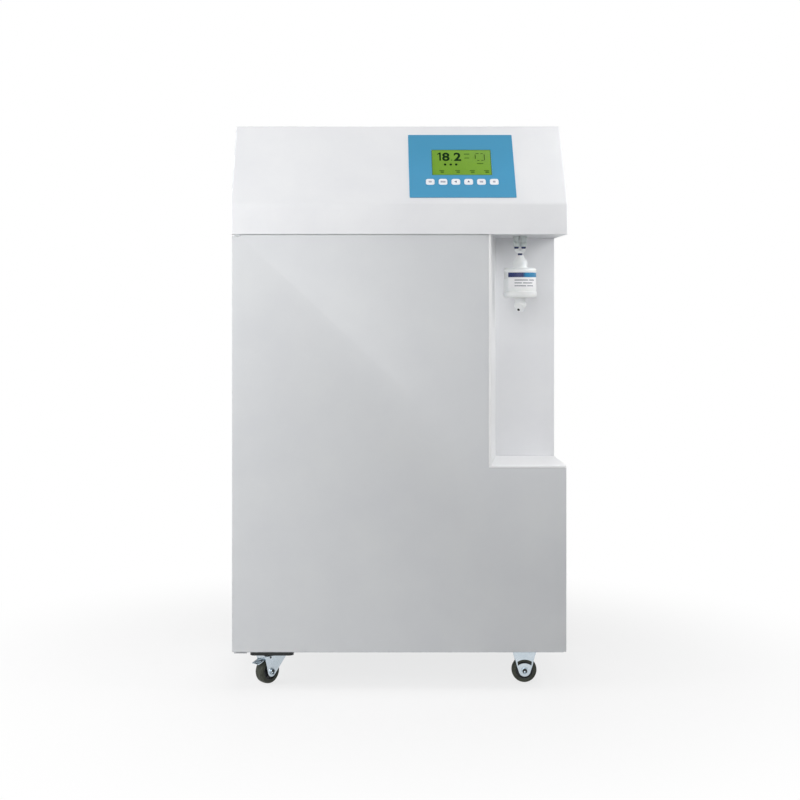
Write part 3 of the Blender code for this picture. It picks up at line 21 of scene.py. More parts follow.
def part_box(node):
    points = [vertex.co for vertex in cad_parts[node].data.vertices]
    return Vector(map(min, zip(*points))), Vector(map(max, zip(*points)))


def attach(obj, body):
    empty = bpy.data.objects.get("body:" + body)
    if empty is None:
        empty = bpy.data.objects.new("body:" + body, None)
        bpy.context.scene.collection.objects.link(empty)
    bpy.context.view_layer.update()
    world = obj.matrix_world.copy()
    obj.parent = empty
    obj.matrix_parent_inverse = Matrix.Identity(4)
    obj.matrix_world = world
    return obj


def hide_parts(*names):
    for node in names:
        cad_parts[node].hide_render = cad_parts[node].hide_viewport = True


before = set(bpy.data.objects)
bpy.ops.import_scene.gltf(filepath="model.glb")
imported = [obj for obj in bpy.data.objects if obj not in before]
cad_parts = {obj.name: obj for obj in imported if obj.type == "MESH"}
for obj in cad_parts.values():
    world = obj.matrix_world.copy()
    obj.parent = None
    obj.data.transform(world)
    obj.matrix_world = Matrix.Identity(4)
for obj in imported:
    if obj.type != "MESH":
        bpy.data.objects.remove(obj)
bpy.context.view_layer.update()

log = logging.getLogger("water_purifier")

MM = 0.001
WELD = 0.000002
PATCH_SHARES = (0.3, 0.7)
BEVEL_ANGLE = math.radians(40)
SHARP_ANGLE = math.radians(35)

Point = Sequence[float]
Pair = tuple[float, float]
Triple = tuple[float, float, float]
Outline = Sequence[Pair]
Test = Callable[[Vector, Vector], bool]
Inputs = dict[str | int, object]


class Plane(Enum):
    """How an outline's (across, up) lies in the object. It is extruded along the plane's own Z axis."""

    PLAN = (1, 0, 0), (0, 1, 0)
    SIDE = (0, 1, 0), (0, 0, 1)
    FRONT = (1, 0, 0), (0, 0, 1)

    def at(self, x: float = 0.0, y: float = 0.0, z: float = 0.0) -> Matrix:
        """The plane's place: PLAN faces up, SIDE faces right and FRONT faces the viewer."""
        across, up = map(Vector, self.value)
        return moved(x, y, z) @ laid(across, up)


def deselect() -> None:
    """Deselects every object."""
    bpy.ops.object.select_all(action="DESELECT")


def only(piece: Object) -> None:
    """Selects one piece alone and makes it active.

    Args:
        piece: The piece.
    """
    deselect()
    piece.select_set(True)
    bpy.context.view_layer.objects.active = piece


def added(name: str, add: Callable[..., object], **settings: object) -> Object:
    """Adds an object by one of Blender's operators.

    Args:
        name: Its name.
        add: The operator.
        settings: Its own properties.

    Returns:
        The new object.
    """
    deselect()
    add(**settings)
    bpy.context.object.name = name
    return bpy.context.object


@contextmanager
def editing(piece: Object) -> Iterator[None]:
    """Edit mode on one piece, and object mode again afterwards.

    Args:
        piece: The piece to edit.
    """
    only(piece)
    bpy.ops.object.mode_set(mode="EDIT")
    yield
    bpy.ops.object.mode_set(mode="OBJECT")


def pick(piece: Object, kind: str, test: Test) -> None:
    """Selects elements of a piece in edit mode.

    Args:
        piece: The piece in edit mode.
        kind: VERT, EDGE or FACE.
        test: Takes an element's middle and its direction: a face's normal, or an edge's own line.
    """
    bpy.ops.mesh.select_mode(type=kind)
    bpy.ops.mesh.select_all(action="DESELECT")
    shape = bmesh.from_edit_mesh(piece.data)
    if kind == "FACE":
        found = [f for f in shape.faces if test(f.calc_center_median(), f.normal)]
    elif kind == "EDGE":
        ends = [(edge, *(vertex.co for vertex in edge.verts)) for edge in shape.edges]
        found = [edge for edge, a, b in ends if test((a + b) / 2, (b - a).normalized())]
    else:
        found = [v for v in shape.verts if test(v.co, v.normal)]
    for element in found:
        element.select_set(True)
    bmesh.update_edit_mesh(piece.data)


def settle(piece: Object, turn: Matrix | None = None) -> Object:
    """Applies a piece's place, so that its object sits at the origin.

    Args:
        piece: The piece.
        turn: A move or turn that comes first.

    Returns:
        The same piece.
    """
    only(piece)
    if turn is not None:
        piece.matrix_world = turn @ piece.matrix_world
    bpy.ops.object.transform_apply(location=True, rotation=True, scale=True)
    return piece


def block(name: str, low: Point, high: Point) -> Object:
    """A cube primitive stretched between two corners.

    Args:
        name: Its name.
        low: Its lowest corner.
        high: Its highest corner.

    Returns:
        The new object.
    """
    low, high = Vector(map(min, low, high)), Vector(map(max, low, high))
    piece = added(name, bpy.ops.mesh.primitive_cube_add, size=1, location=(low + high) / 2)
    piece.scale = high - low
    return settle(piece)


def laid(across: Vector, up: Vector) -> Matrix:
    """The turn that lays an outline's two axes along two directions."""
    return Matrix((across, up, across.cross(up))).transposed().to_4x4()


def facing(out: Vector) -> Matrix:
    """The turn that points a piece's own Z axis in a direction."""
    return out.to_track_quat("Z", "Y").to_matrix().to_4x4()


def moved(x: float = 0.0, y: float = 0.0, z: float = 0.0) -> Matrix:
    """The move by a distance along each axis."""
    return Matrix.Translation((x, y, z))


def spun(degrees: float, axis: str = "Z") -> Matrix:
    """The turn by an angle round one axis."""
    return Matrix.Rotation(math.radians(degrees), 4, axis)


def rod(name: str, start: Point, end: Point, radius: float, sides: int = 32) -> Object:
    """A cylinder primitive from one point to another.

    Args:
        name: Its name.
        start: The middle of one end.
        end: The middle of the other end.
        radius: Its radius.
        sides: The number of its sides.

    Returns:
        The new object.
    """
    start, end = Vector(start), Vector(end)
    along = end - start
    add = bpy.ops.mesh.primitive_cylinder_add
    piece = added(name, add, vertices=sides, radius=radius, depth=along.length)
    return settle(piece, Matrix.Translation((start + end) / 2) @ facing(along))


def run_of_points(name: str, points: Sequence[Point]) -> Object:
    """A chain of edges, drawn by extruding one vertex from point to point.

    Args:
        name: Its name.
        points: The points in order.

    Returns:
        The new object, still in edit mode.
    """
    piece = added(name, bpy.ops.mesh.primitive_plane_add, size=MM)
    bpy.ops.object.mode_set(mode="EDIT")
    bpy.ops.mesh.select_mode(type="VERT")
    select_mesh()
    bpy.ops.mesh.merge(type="CENTER")
    bpy.ops.transform.translate(value=Vector(points[0]))
    for here, there in zip(points, points[1:]):
        step = Vector(there) - Vector(here)
        bpy.ops.mesh.extrude_region_move(TRANSFORM_OT_translate={"value": step})
    return piece


def select_mesh() -> None:
    """Selects the whole mesh, in edit mode."""
    bpy.ops.mesh.select_all(action="SELECT")


def tidy_mesh() -> None:
    """Merges doubles, drops loose edges and turns every face outwards, in edit mode."""
    select_mesh()
    bpy.ops.mesh.remove_doubles(threshold=WELD)
    bpy.ops.mesh.delete_loose()
    select_mesh()
    bpy.ops.mesh.normals_make_consistent(inside=False)


def lathe(name: str, profile: Outline, at: Matrix, sides: int = 48) -> Object:
    """A profile of (radius, height) points spun about its own Z axis.

    Args:
        name: Its name.
        profile: The points, down the outer side. A profile off the axis is closed to a ring.
        at: The place and turn of the axis.
        sides: The number of steps in a full turn.

    Returns:
        The new object.
    """
    piece = run_of_points(name, [(radius, 0, height) for radius, height in profile])
    select_mesh()
    if min(profile[0][0], profile[-1][0]) > WELD:
        bpy.ops.mesh.edge_face_add()
        pick(piece, "FACE", lambda middle, normal: True)
        bpy.ops.mesh.delete(type="ONLY_FACE")
        bpy.ops.mesh.select_mode(type="VERT")
        select_mesh()
    bpy.ops.mesh.spin(steps=sides, angle=2 * math.pi, center=(0, 0, 0), axis=(0, 0, 1))
    tidy_mesh()
    bpy.ops.object.mode_set(mode="OBJECT")
    return settle(piece, at)


def slab(name: str, outline: Outline, depth: float, at: Matrix) -> Object:
    """A flat outline filled and extruded along its own Z axis.

    Args:
        name: Its name.
        outline: Its (across, up) points.
        depth: How far it is extruded.
        at: The place and turn of the outline's plane.

    Returns:
        The new object.
    """
    piece = run_of_points(name, [(across, up, 0) for across, up in outline])
    select_mesh()
    bpy.ops.mesh.edge_face_add()
    select_mesh()
    bpy.ops.mesh.extrude_region_move(TRANSFORM_OT_translate={"value": (0, 0, depth)})
    tidy_mesh()
    bpy.ops.object.mode_set(mode="OBJECT")
    return settle(piece, at)


def bevel(piece: Object, width: float, segments: int, test: Test) -> Object:
    """Rounds some edges of a piece.

    Args:
        piece: The piece.
        width: The width of the round.
        segments: The number of faces across it.
        test: Takes an edge's middle and its line, and says whether it is rounded.

    Returns:
        The same piece.
    """
    with editing(piece):
        pick(piece, "EDGE", test)
        bpy.ops.mesh.bevel(offset=width, segments=segments, affect="EDGES")
    return piece


def bevel_all(piece: Object, width: float, segments: int = 2) -> Object:
    """Rounds every sharp edge of a piece."""
    modify(piece, "BEVEL", width=width, segments=segments, limit_method="ANGLE", angle_limit=BEVEL_ANGLE)
    return piece


def modify(piece: Object, kind: str, **settings: object) -> None:
    """Adds a modifier and applies it.

    Args:
        piece: The piece.
        kind: The modifier's type.
        settings: The modifier's own properties.
    """
    step = piece.modifiers.new(kind.lower(), kind)
    for name, value in settings.items():
        setattr(step, name, value)
    only(piece)
    bpy.ops.object.modifier_apply(modifier=step.name)


def drop_faces(piece: Object, test: Test) -> None:
    """Deletes faces of a piece.

    Args:
        piece: The piece.
        test: Takes a face's middle and its normal, and says whether it goes.
    """
    with editing(piece):
        pick(piece, "FACE", test)
        bpy.ops.mesh.delete(type="FACE")


def folded(piece: Object, bend: float, sheet: float) -> Object:
    """Makes an open shell into folded sheet metal: its inner edges become bends, and it gets a wall inwards.

    Args:
        piece: The open shell, at the outer surface.
        bend: The outer radius of its bends.
        sheet: The thickness of its wall.

    Returns:
        The same piece.
    """
    with editing(piece):
        bpy.ops.mesh.select_mode(type="EDGE")
        select_mesh()
        bpy.ops.mesh.region_to_loop()
        bpy.ops.mesh.select_all(action="INVERT")
        bpy.ops.mesh.bevel(offset=bend, segments=4, affect="EDGES")
    modify(piece, "SOLIDIFY", thickness=sheet, offset=-1)
    return piece


def combined(piece: Object, operation: str, others: Iterable[Object]) -> Object:
    """Runs a boolean with other objects on a piece, and removes them.

    Args:
        piece: The piece.
        operation: DIFFERENCE or UNION.
        others: What is cut out of the piece, or made one solid with it.

    Returns:
        The same piece.
    """
    for other in others:
        modify(piece, "BOOLEAN", operation=operation, solver="EXACT", object=other)
        bpy.data.objects.remove(other)
    return piece


def drilled(piece: Object, *cutters: Object) -> Object:
    """Cuts the cutters out of a piece."""
    return combined(piece, "DIFFERENCE", cutters)


def fused(piece: Object, *others: Object) -> Object:
    """Makes the others one solid with the piece."""
    return combined(piece, "UNION", others)


def gathered(name: str, pieces: Iterable[Object]) -> Object:
    """Joins separate pieces into one object, as a group of solids.

    Args:
        name: The name of the whole.
        pieces: The pieces.

    Returns:
        The whole.
    """
    pieces = list(pieces)
    only(pieces[0])
    for piece in pieces:
        piece.select_set(True)
    bpy.ops.object.join()
    pieces[0].name = name
    return pieces[0]


def copied(piece: Object, name: str, turn: Matrix) -> Object:
    """Copies a piece, with a mesh of its own.

    Args:
        piece: The piece.
        name: The copy's name.
        turn: How the copy is moved or turned.

    Returns:
        The copy, with its place applied.
    """
    twin = piece.copy()
    twin.data = piece.data.copy()
    twin.name = name
    bpy.context.scene.collection.objects.link(twin)
    return settle(twin, turn)


def arc(centre: Point, radius: float, start: float, end: float, steps: int) -> Outline:
    """Points on an arc from one angle in degrees to another, both ends included."""
    turns = [math.radians(start + (end - start) * step / steps) for step in range(steps + 1)]
    return [(centre[0] + radius * math.cos(t), centre[1] + radius * math.sin(t)) for t in turns]


def rounded(centre: Point, width: float, height: float, radius: float, steps: int = 6) -> Outline:
    """The outline of a rectangle with round corners.

    Args:
        centre: Its middle.
        width: Its width.
        height: Its height.
        radius: The radius of its corners.
        steps: The number of steps in a corner.

    Returns:
        Its (across, up) points.
    """
    points = []
    for quarter, (side, end) in enumerate(((1, 1), (-1, 1), (-1, -1), (1, -1))):
        corner = (centre[0] + side * (width / 2 - radius), centre[1] + end * (height / 2 - radius))
        points += arc(corner, radius, 90 * quarter, 90 * quarter + 90, steps)
    return points


def linear(code: str) -> tuple[float, float, float, float]:
    """Turns an sRGB colour into a linear one.

    Args:
        code: Six hex digits.

    Returns:
        Linear red, green and blue, with full alpha.
    """
    shares = [int(code[i : i + 2], 16) / 255 for i in (0, 2, 4)]
    red, green, blue = (s / 12.92 if s <= 0.04045 else ((s + 0.055) / 1.055) ** 2.4 for s in shares)
    return (red, green, blue, 1.0)


def per_metre(size_mm: float) -> float:
    """The scale that makes a pattern repeat about once in this many millimetres."""
    return 1 / (size_mm * MM)


def feed(node: Node, inputs: Inputs) -> None:
    """Sets a shader node's inputs.

    Args:
        node: The node.
        inputs: For each input by name, the socket that feeds it or its own value.
    """
    for name, value in inputs.items():
        if isinstance(value, NodeSocket):
            node.id_data.links.new(value, node.inputs[name])
        else:
            node.inputs[name].default_value = value


def add_node(tree: NodeTree, kind: str, inputs: Inputs | None = None, **settings: object) -> Node:
    """Adds a shader node.

    Args:
        tree: The material's or the world's node tree.
        kind: The node's type.
        inputs: What feeds its inputs.
        settings: The node's own properties.

    Returns:
        The new node.
    """
    node = tree.nodes.new(kind)
    for name, value in settings.items():
        setattr(node, name, value)
    feed(node, inputs or {})
    return node


@dataclass(frozen=True)
class Finish:
    """A surface with two tones in soft patches, a varying roughness and a fine relief.

    Attributes:
        name: The material's name, after the real one and how it was made.
        slot: The record's material slot.
        colour: Its main colour, as sRGB hex.
        tint: The colour that its patches drift to.
        roughness: The lowest and the highest roughness.
        patch_mm: The size of its patches.
        grain_mm: The size of its fine relief.
        relief_mm: The depth of its fine relief.
        metallic: 1 for bare metal.
        ior: The index of refraction of what isn't metal.
        scatter: How far light enters below the surface, from 0 to 1.
    """

    name: str
    slot: str
    colour: str
    tint: str
    roughness: Pair
    patch_mm: float = 60.0
    grain_mm: float = 1.6
    relief_mm: float = 0.004
    metallic: float = 0.0
    ior: float = 1.5
    scatter: float = 0.0

    def patches(self, tree: NodeTree, place: NodeSocket) -> NodeSocket:
        """The share of the tint at each point."""
        inputs = {"Vector": place, "Scale": per_metre(self.patch_mm), "Detail": 4.0, "Roughness": 0.55}
        return add_node(tree, "ShaderNodeTexNoise", inputs).outputs["Fac"]

    def tone(self, tree: NodeTree, place: NodeSocket, share: NodeSocket) -> NodeSocket:
        """The colour at each point, from the main colour to the tint.

        Args:
            tree: The material's node tree.
            place: Each point's place, in object coordinates; not used here, only by the finishes that
                override this.
            share: The share of the tint.

        Returns:
            The colour.
        """
        ramp = add_node(tree, "ShaderNodeValToRGB", {"Fac": share})
        ends = zip(ramp.color_ramp.elements, PATCH_SHARES, (self.colour, self.tint))
        for end, position, colour in ends:
            end.position, end.color = position, linear(colour)
        return ramp.outputs["Color"]

    def relief(self, tree: NodeTree, place: NodeSocket) -> NodeSocket:
        """The height of the fine relief at each point, from 0 to 1."""
        inputs = {"Vector": place, "Scale": per_metre(self.grain_mm), "Detail": 2.0}
        return add_node(tree, "ShaderNodeTexNoise", inputs).outputs["Fac"]

    def material(self) -> Material:
        """Builds the material.

        Returns:
            The material, with its colour, roughness and relief from nodes.
        """
        made = bpy.data.materials.new(self.name)
        made.use_nodes = True
        tree = made.node_tree
        shader = tree.nodes["Principled BSDF"]
        place = add_node(tree, "ShaderNodeTexCoord").outputs["Object"]
        share = self.patches(tree, place)
        spread = dict(zip(("From Min", "From Max", "To Min", "To Max"), PATCH_SHARES + self.roughness))
        gloss = add_node(tree, "ShaderNodeMapRange", {"Value": share, **spread})
        heights = {"Height": self.relief(tree, place), "Distance": self.relief_mm * MM}
        inputs = {
            "Base Color": self.tone(tree, place, share),
            "Roughness": gloss.outputs["Result"],
            "Normal": add_node(tree, "ShaderNodeBump", heights).outputs["Normal"],
            "Metallic": self.metallic,
            "Subsurface Weight": self.scatter,
            "Subsurface Radius": (1.0, 0.9, 0.8),
            "Subsurface Scale": 2 * MM,
        }
        feed(shader, inputs if self.metallic else inputs | {"IOR": self.ior})
        return made


@dataclass(frozen=True)
class Spangled(Finish):
    """Hot-dip galvanised sheet: zinc crystals, each with its own grey and gloss."""

    def patches(self, tree: NodeTree, place: NodeSocket) -> NodeSocket:
        """One value for each crystal."""
        cells = add_node(tree, "ShaderNodeTexVoronoi", {"Vector": place, "Scale": per_metre(self.patch_mm)})
        return add_node(tree, "ShaderNodeSeparateColor", {"Color": cells.outputs["Color"]}).outputs["Red"]


@dataclass(frozen=True)
class Drawn(Finish):
    """A surface with fine lines along one axis, left by rolling or brushing.

    Attributes:
        line: How much the relief is squeezed along each axis: little along the lines.
    """

    line: Triple = (0.04, 1.0, 1.0)

    def relief(self, tree: NodeTree, place: NodeSocket) -> NodeSocket:
        """Noise drawn out along the lines."""
        turned = add_node(tree, "ShaderNodeMapping", {"Vector": place, "Scale": self.line})
        return super().relief(tree, turned.outputs["Vector"])


@dataclass(frozen=True)
class Graded(Finish):
    """A print whose colour runs from one tone to the other across a length.

    Attributes:
        axis: The axis that it runs along: X, Y or Z.
        start: Where the main colour ends, in metres.
        end: Where the tint is reached.
    """

    axis: str = "Z"
    start: float = 0.0
    end: float = 1.0

    def tone(self, tree: NodeTree, place: NodeSocket, share: NodeSocket) -> NodeSocket:
        """The colour from one tone to the other along the axis, whatever the patches' share."""
        split = add_node(tree, "ShaderNodeSeparateXYZ", {"Vector": place})
        inputs = {"Value": split.outputs[self.axis], "From Min": self.start, "From Max": self.end}
        along = add_node(tree, "ShaderNodeMapRange", inputs)
        return super().tone(tree, place, along.outputs["Result"])


@dataclass(frozen=True)
class Latticed(Finish):
    """A surface ruled into cells, as a display's pixels or a circuit board's tracks are.

    Attributes:
        cell_mm: A cell's width and height.
        rule_mm: The width of the lines between the cells.
        rule: The colour of the lines, as sRGB hex.
        tilt: How far the lattice leans back from upright, in radians.
    """

    cell_mm: Pair = (1.0, 1.0)
    rule_mm: float = 0.1
    rule: str = "000000"
    tilt: float = 0.0

    def tone(self, tree: NodeTree, place: NodeSocket, share: NodeSocket) -> NodeSocket:
        """The cells' tone with the lines over it."""
        upright = math.pi / 2 - self.tilt
        turned = add_node(tree, "ShaderNodeMapping", {"Vector": place, "Rotation": (-upright, 0, 0)})
        cells = super().tone(tree, place, share)
        inputs = {
            "Vector": turned.outputs["Vector"], "Color1": cells, "Color2": cells, "Mortar": linear(self.rule),
            "Scale": per_metre(1.0), "Mortar Size": self.rule_mm / 2, "Mortar Smooth": 0.1,
            "Brick Width": self.cell_mm[0], "Row Height": self.cell_mm[1],
        }
        return add_node(tree, "ShaderNodeTexBrick", inputs, offset=0.0, squash=1.0).outputs["Color"]


# Polyester powder coat, sprayed and baked: an even satin skin with a faint orange peel
WHITE_COAT = Finish(
    "powder_coated_steel_white", "white_enamel", "F0F1F3", "ECEDF0", (0.38, 0.46), 90, 2.4, 0.01
)
# The niche's lining: the same white coat, painted brighter as painted light
LIT_LINING_COAT = Finish(
    "powder_coated_steel_white_painted_lit", "white_enamel", "FCFCFD", "F8F9FA", (0.38, 0.46), 90, 2.4, 0.01
)
# With fine aluminium flakes, a little glossier
SILVER_COAT = Finish(
    "powder_coated_steel_light_grey", "grey_enamel", "DADCDE", "D6D8DB", (0.34, 0.42), 90, 2.2, 0.01
)
# Crystals about 8 mm across, dull and bright beside each other
GALVANISED = Spangled(
    "hot_dip_galvanised_steel", "galvanised", "A3A8AC", "BEC3C7", (0.36, 0.52), 8, 0.8, 0.004, 0.9
)
CASE_ALUMINIUM = Drawn("brushed_aluminium", "supply_case", "B9BBBD", "C6C8CA", (0.3, 0.4), 30, 0.5, 0.004, 1)
# Cool, slightly cloudy and quite shiny
ZINC = Finish("blue_passivated_zinc_plate", "zinc", "C4D0D9", "D3DDE4", (0.22, 0.32), 22, 1, 0.004, 1)
# Black electrocoat; also the painted shade in the hollow heads of the caster axles
BLACK_COAT_AND_SHADE = Finish(
    "electrocoated_steel_black_and_painted_shade", "black_steel", "16191A", "202424", (0.32, 0.42), 12, 0.8, 0.004
)
FERRITE = Finish("sintered_ferrite", "magnet", "232323", "2E2D2C", (0.5, 0.65), 4, 0.5, 0.01)
# Blue print on the back of a clear polyester film, fine-textured in front
FILM_BLUE = Graded(
    "printed_polyester_film", "blue_film", "469CC7", "4097C0", (0.3, 0.38), 60, 0.7, 0.004,
    ior=1.3, axis="Z", start=0.95, end=1.07,
)
# Under the same film
INK_WHITE = Finish("screen_printed_ink_white", "blue_film", "E8F2F8", "DCEBF4", (0.32, 0.4), 10, 0.7, 0.003)
# On the keys and on labels
INK_NAVY = Finish("screen_printed_ink_navy", "blue_film", "2B3A66", "35456F", (0.4, 0.5), 10, 0.7, 0.003)
KEY_WHITE = Finish("moulded_abs_white", "key_white", "FBFCFF", "F6F8FE", (0.34, 0.42), 12, 0.6, 0.006)
# Lit liquid-crystal glass, yellow-green. Its half-millimetre pixels are drawn 0.9 mm wide, so that they show
LCD_GREEN = Latticed(
    "liquid_crystal_glass", "display", "80B024", "76A621", (0.1, 0.16), 40, 3, 0.001, ior=1.25,
    cell_mm=(0.9, 0.9), rule_mm=0.1, rule="5F8A2A", tilt=0.645,
)
# Its darkened pixels, and those driven half way
LCD_DARK = Finish(
    "liquid_crystal_darkened", "display", "0C2A02", "123404", (0.12, 0.2), 20, 1, 0.001, ior=1.12
)
LCD_FAINT = Finish(
    "liquid_crystal_half_dark", "display", "3A6616", "426C1A", (0.12, 0.2), 20, 1, 0.001, ior=1.12
)
# The glass in the shade under the edge of the film
LCD_EDGE = Finish(
    "liquid_crystal_shaded_edge", "display", "4E7F33", "588737", (0.12, 0.2), 20, 1, 0.001, ior=1.25
)
# Green solder mask over etched copper tracks
BOARD = Latticed(
    "solder_masked_board", "board", "14532E", "0F4426", (0.28, 0.4), 8, 0.6, 0.01,
    cell_mm=(7, 2.6), rule_mm=0.4, rule="1F7A44", tilt=0.645,
)
# Milky, with soft gloss
WHITE_POLYPROPYLENE = Finish(
    "moulded_polypropylene_natural", "white_plastic", "FBFDFD", "F4F8F8", (0.3, 0.4), 18, 1, 0.006,
    scatter=0.25,
)
BLUE_POLYPROPYLENE = Finish(
    "moulded_polypropylene_blue", "blue_plastic", "1F4E9C", "1A4389", (0.3, 0.4), 25, 1, 0.008
)
ACETAL_GREY = Finish(
    "moulded_acetal_translucent_grey", "white_plastic", "D9E0DE", "CFD8D6", (0.24, 0.34), 8, 0.8, 0.006,
    scatter=0.3,
)
COLLET_BLUE = Finish(
    "moulded_acetal_dark_blue", "white_plastic", "17254F", "1F3163", (0.26, 0.34), 6, 0.6, 0.004
)
# Glass-filled, with a fine spark-eroded texture. Also the painted shade in the nozzle's mouth
BLACK_NYLON_AND_SHADE = Finish("moulded_nylon_black_and_painted_shade", "black_plastic", "17181A", "202225", (0.42, 0.55), 14, 0.5, 0.012)
TUBE_WHITE = Finish(
    "extruded_polyethylene", "tube_plastic", "E9ECEA", "DFE4E1", (0.34, 0.44), 30, 1.5, 0.004, scatter=0.35
)
# Grey with an olive cast, and dull
TYRE = Finish("moulded_rubber_olive_grey", "wheel_rubber", "3E4236", "2A2D24", (0.55, 0.72), 7, 0.6, 0.02)
HUB_BLACK = Finish(
    "moulded_polypropylene_black", "wheel_rubber", "15171A", "1D2022", (0.38, 0.48), 8, 0.6, 0.008
)
# Closed-cell foam, dull and pitted
FOAM = Finish("foamed_epdm_black", "black_plastic", "1C1C1D", "262627", (0.75, 0.88), 5, 0.7, 0.06)
LABEL = Finish("coated_paper_label", "white_plastic", "FDFDFE", "F8F9FB", (0.36, 0.44), 12, 0.6, 0.003)
# The label's band, printed from navy on the left to sea blue on the right
BAND_BLUE = Graded(
    "offset_printed_band", "white_plastic", "1B2C63", "1B80AF", (0.32, 0.4), 10, 0.6, 0.002,
    axis="X", start=0.236, end=0.252,
)
INK_GREY = Finish("offset_printed_ink_grey", "white_plastic", "5D5F70", "6A6C7C", (0.36, 0.44), 8, 0.6, 0.002)
NICKEL = Finish("nickel_plated_brass", "zinc", "C9C4B8", "D5D1C6", (0.18, 0.28), 6, 0.8, 0.003, 1)


@cache
def material_of(finish: Finish) -> Material:
    """The one material of each finish."""
    return finish.material()


def paint(piece: Object, finish: Finish) -> Object:
    """Gives the whole piece one finish, and shades it smooth up to its sharper edges.

    Args:
        piece: The piece.
        finish: Its finish.

    Returns:
        The same piece.
    """
    piece.data.materials.clear()
    piece.data.materials.append(material_of(finish))
    only(piece)
    bpy.ops.object.shade_smooth_by_angle(angle=SHARP_ANGLE)
    return piece


def mount(piece: Object, body: str, slot: str, *nodes: str) -> Object:
    """Lets a painted piece ride on a body.

    Args:
        piece: The piece, in its place.
        body: The body that carries it.
        slot: The record's slot of its main finish; not used.
        nodes: The nodes that it stands for.

    Returns:
        The same piece.
    """
    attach(piece, body)
    if nodes:
        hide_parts(*nodes)
    log.info("%s rides on %s", piece.name, body)
    return piece


def assembled(node: str, way: str, pieces: Iterable[Object], slot: str, body: str = "cabinet") -> None:
    """Joins painted pieces into the one that stands for a node, named for how it is made."""
    mount(gathered(f"{node}.{way}", pieces), body, slot, node)


def twins(left: Object, stem: str, apart: float) -> None:
    """Copies a painted white piece to the right, and mounts both on the cabinet.

    Args:
        left: The left piece.
        stem: The name that their nodes share.
        apart: How far the right one is from it.
    """
    for piece, side in ((left, "left"), (copied(left, "twin", moved(apart)), "right")):
        piece.name = f"{stem}_{side}.moulded"
        mount(piece, "cabinet", "white_plastic", f"{stem}_{side}")


def dress(piece: Object, finish: Finish, *nodes: str) -> Object:
    """Paints a piece with one finish and mounts it on the cabinet."""
    return mount(paint(piece, finish), "cabinet", finish.slot, *nodes)


def refinish(node: str, finish: Finish) -> None:
    """Gives a CAD node that keeps its shape the same finish all over.

    Args:
        node: The node's name.
        finish: Its finish.
    """
    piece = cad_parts[node]
    if not piece.material_slots:
        piece.data.materials.append(None)
    for place in piece.material_slots:
        place.material = material_of(finish)
    log.info("%s keeps its shape", node)


def bent(name: str, path: Outline, width: float, at: Matrix, bend: float, sheet: float) -> Object:
    """A strip of sheet metal bent along a path, which is its outer face.

    Args:
        name: Its name.
        path: The (across, up) points of its outer face. The sheet's thickness lies on the path's left.
        width: The strip's width along its own Z axis.
        at: The place and turn of the path's plane.
        bend: The outer radius of its bends.
        sheet: The thickness of the sheet.

    Returns:
        The new object.
    """
    piece = run_of_points(name, [(across, up, 0) for across, up in path])
    select_mesh()
    bpy.ops.mesh.extrude_region_move(TRANSFORM_OT_translate={"value": (0, 0, width)})
    bpy.ops.object.mode_set(mode="OBJECT")
    corners = [Vector(point) for point in path[1:-1]]

    def at_bend(middle: Vector, line: Vector) -> bool:
        """Says whether an edge lies along one of the bends."""
        return abs(line.z) > 0.9 and any((middle.xy - corner).length < WELD for corner in corners)

    bevel(piece, bend, 4, at_bend)
    modify(piece, "SOLIDIFY", thickness=sheet, offset=-1, use_even_offset=True)
    with editing(piece):
        tidy_mesh()
    return settle(piece, at)


def screw(at: Point, out: Point, radius: float) -> Object:
    """A pan-head screw with a cross recess.

    Args:
        at: Where its head sits on the surface.
        out: The direction out of the surface.
        radius: The radius of its head.

    Returns:
        The painted screw head.
    """
    seat = moved(*at) @ facing(Vector(out))
    tall = radius * 0.62
    dome = [(0, tall), (radius * 0.45, tall * 0.95), (radius * 0.8, tall * 0.7), (radius, tall * 0.25)]
    head = lathe("screw", [*dome, (radius, 0), (0, 0)], seat, 20)
    wide, long, deep = radius * 0.13, radius * 0.5, tall * 0.45
    for across, up in ((long, wide), (wide, long)):
        bar = block("recess", (-across, -up, deep), (across, up, tall * 1.2))
        drilled(head, settle(bar, seat))
    return paint(head, ZINC)


@dataclass(frozen=True)
class Sizes:
    """The cabinet's sizes that its sub-assemblies share, in metres: depths along Y and heights along Z."""

    front: float = -0.241
    back: float = 0.219
    side: float = 0.318
    hood_side: float = 0.32
    hood_foot: float = 0.868
    slope_foot: float = 0.926
    slope_run: float = 0.121
    top: float = 1.087
    door_front: float = -0.238
    pan_bottom: float = 0.068
    panel_bottom: float = 0.0735
    panel_front: float = -0.21944
    niche_left: float = 0.1705
    niche_inner: float = 0.175
    niche_back_left: float = 0.1995
    niche_back: float = -0.058
    niche_floor: float = 0.428
    door_shoulder: float = 0.4235
    sheet: float = 0.0015
    gap: float = 0.0003

    def slope(self, across: float = 0.0, up: float = 0.0, out: float = 0.0) -> Matrix:
        """A place on the hood's slanted face.

        Args:
            across: How far it is from the middle.
            up: How far it is up the slope.
            out: How far it is out of the slope.

        Returns:
            The place, with its own Z axis out of the slope.
        """
        along = Vector((0, self.slope_run, self.top - self.slope_foot)).normalized()
        turn = laid(Vector((1, 0, 0)), along)
        return moved(0, self.front, self.slope_foot) @ turn @ moved(across, up, out)


class Sign(Enum):
    """What is printed on a key, and what its value says."""

    BARS = "two bars in place of a word, as wide as the value"
    ARROW = "an arrow, turned by the value in degrees"


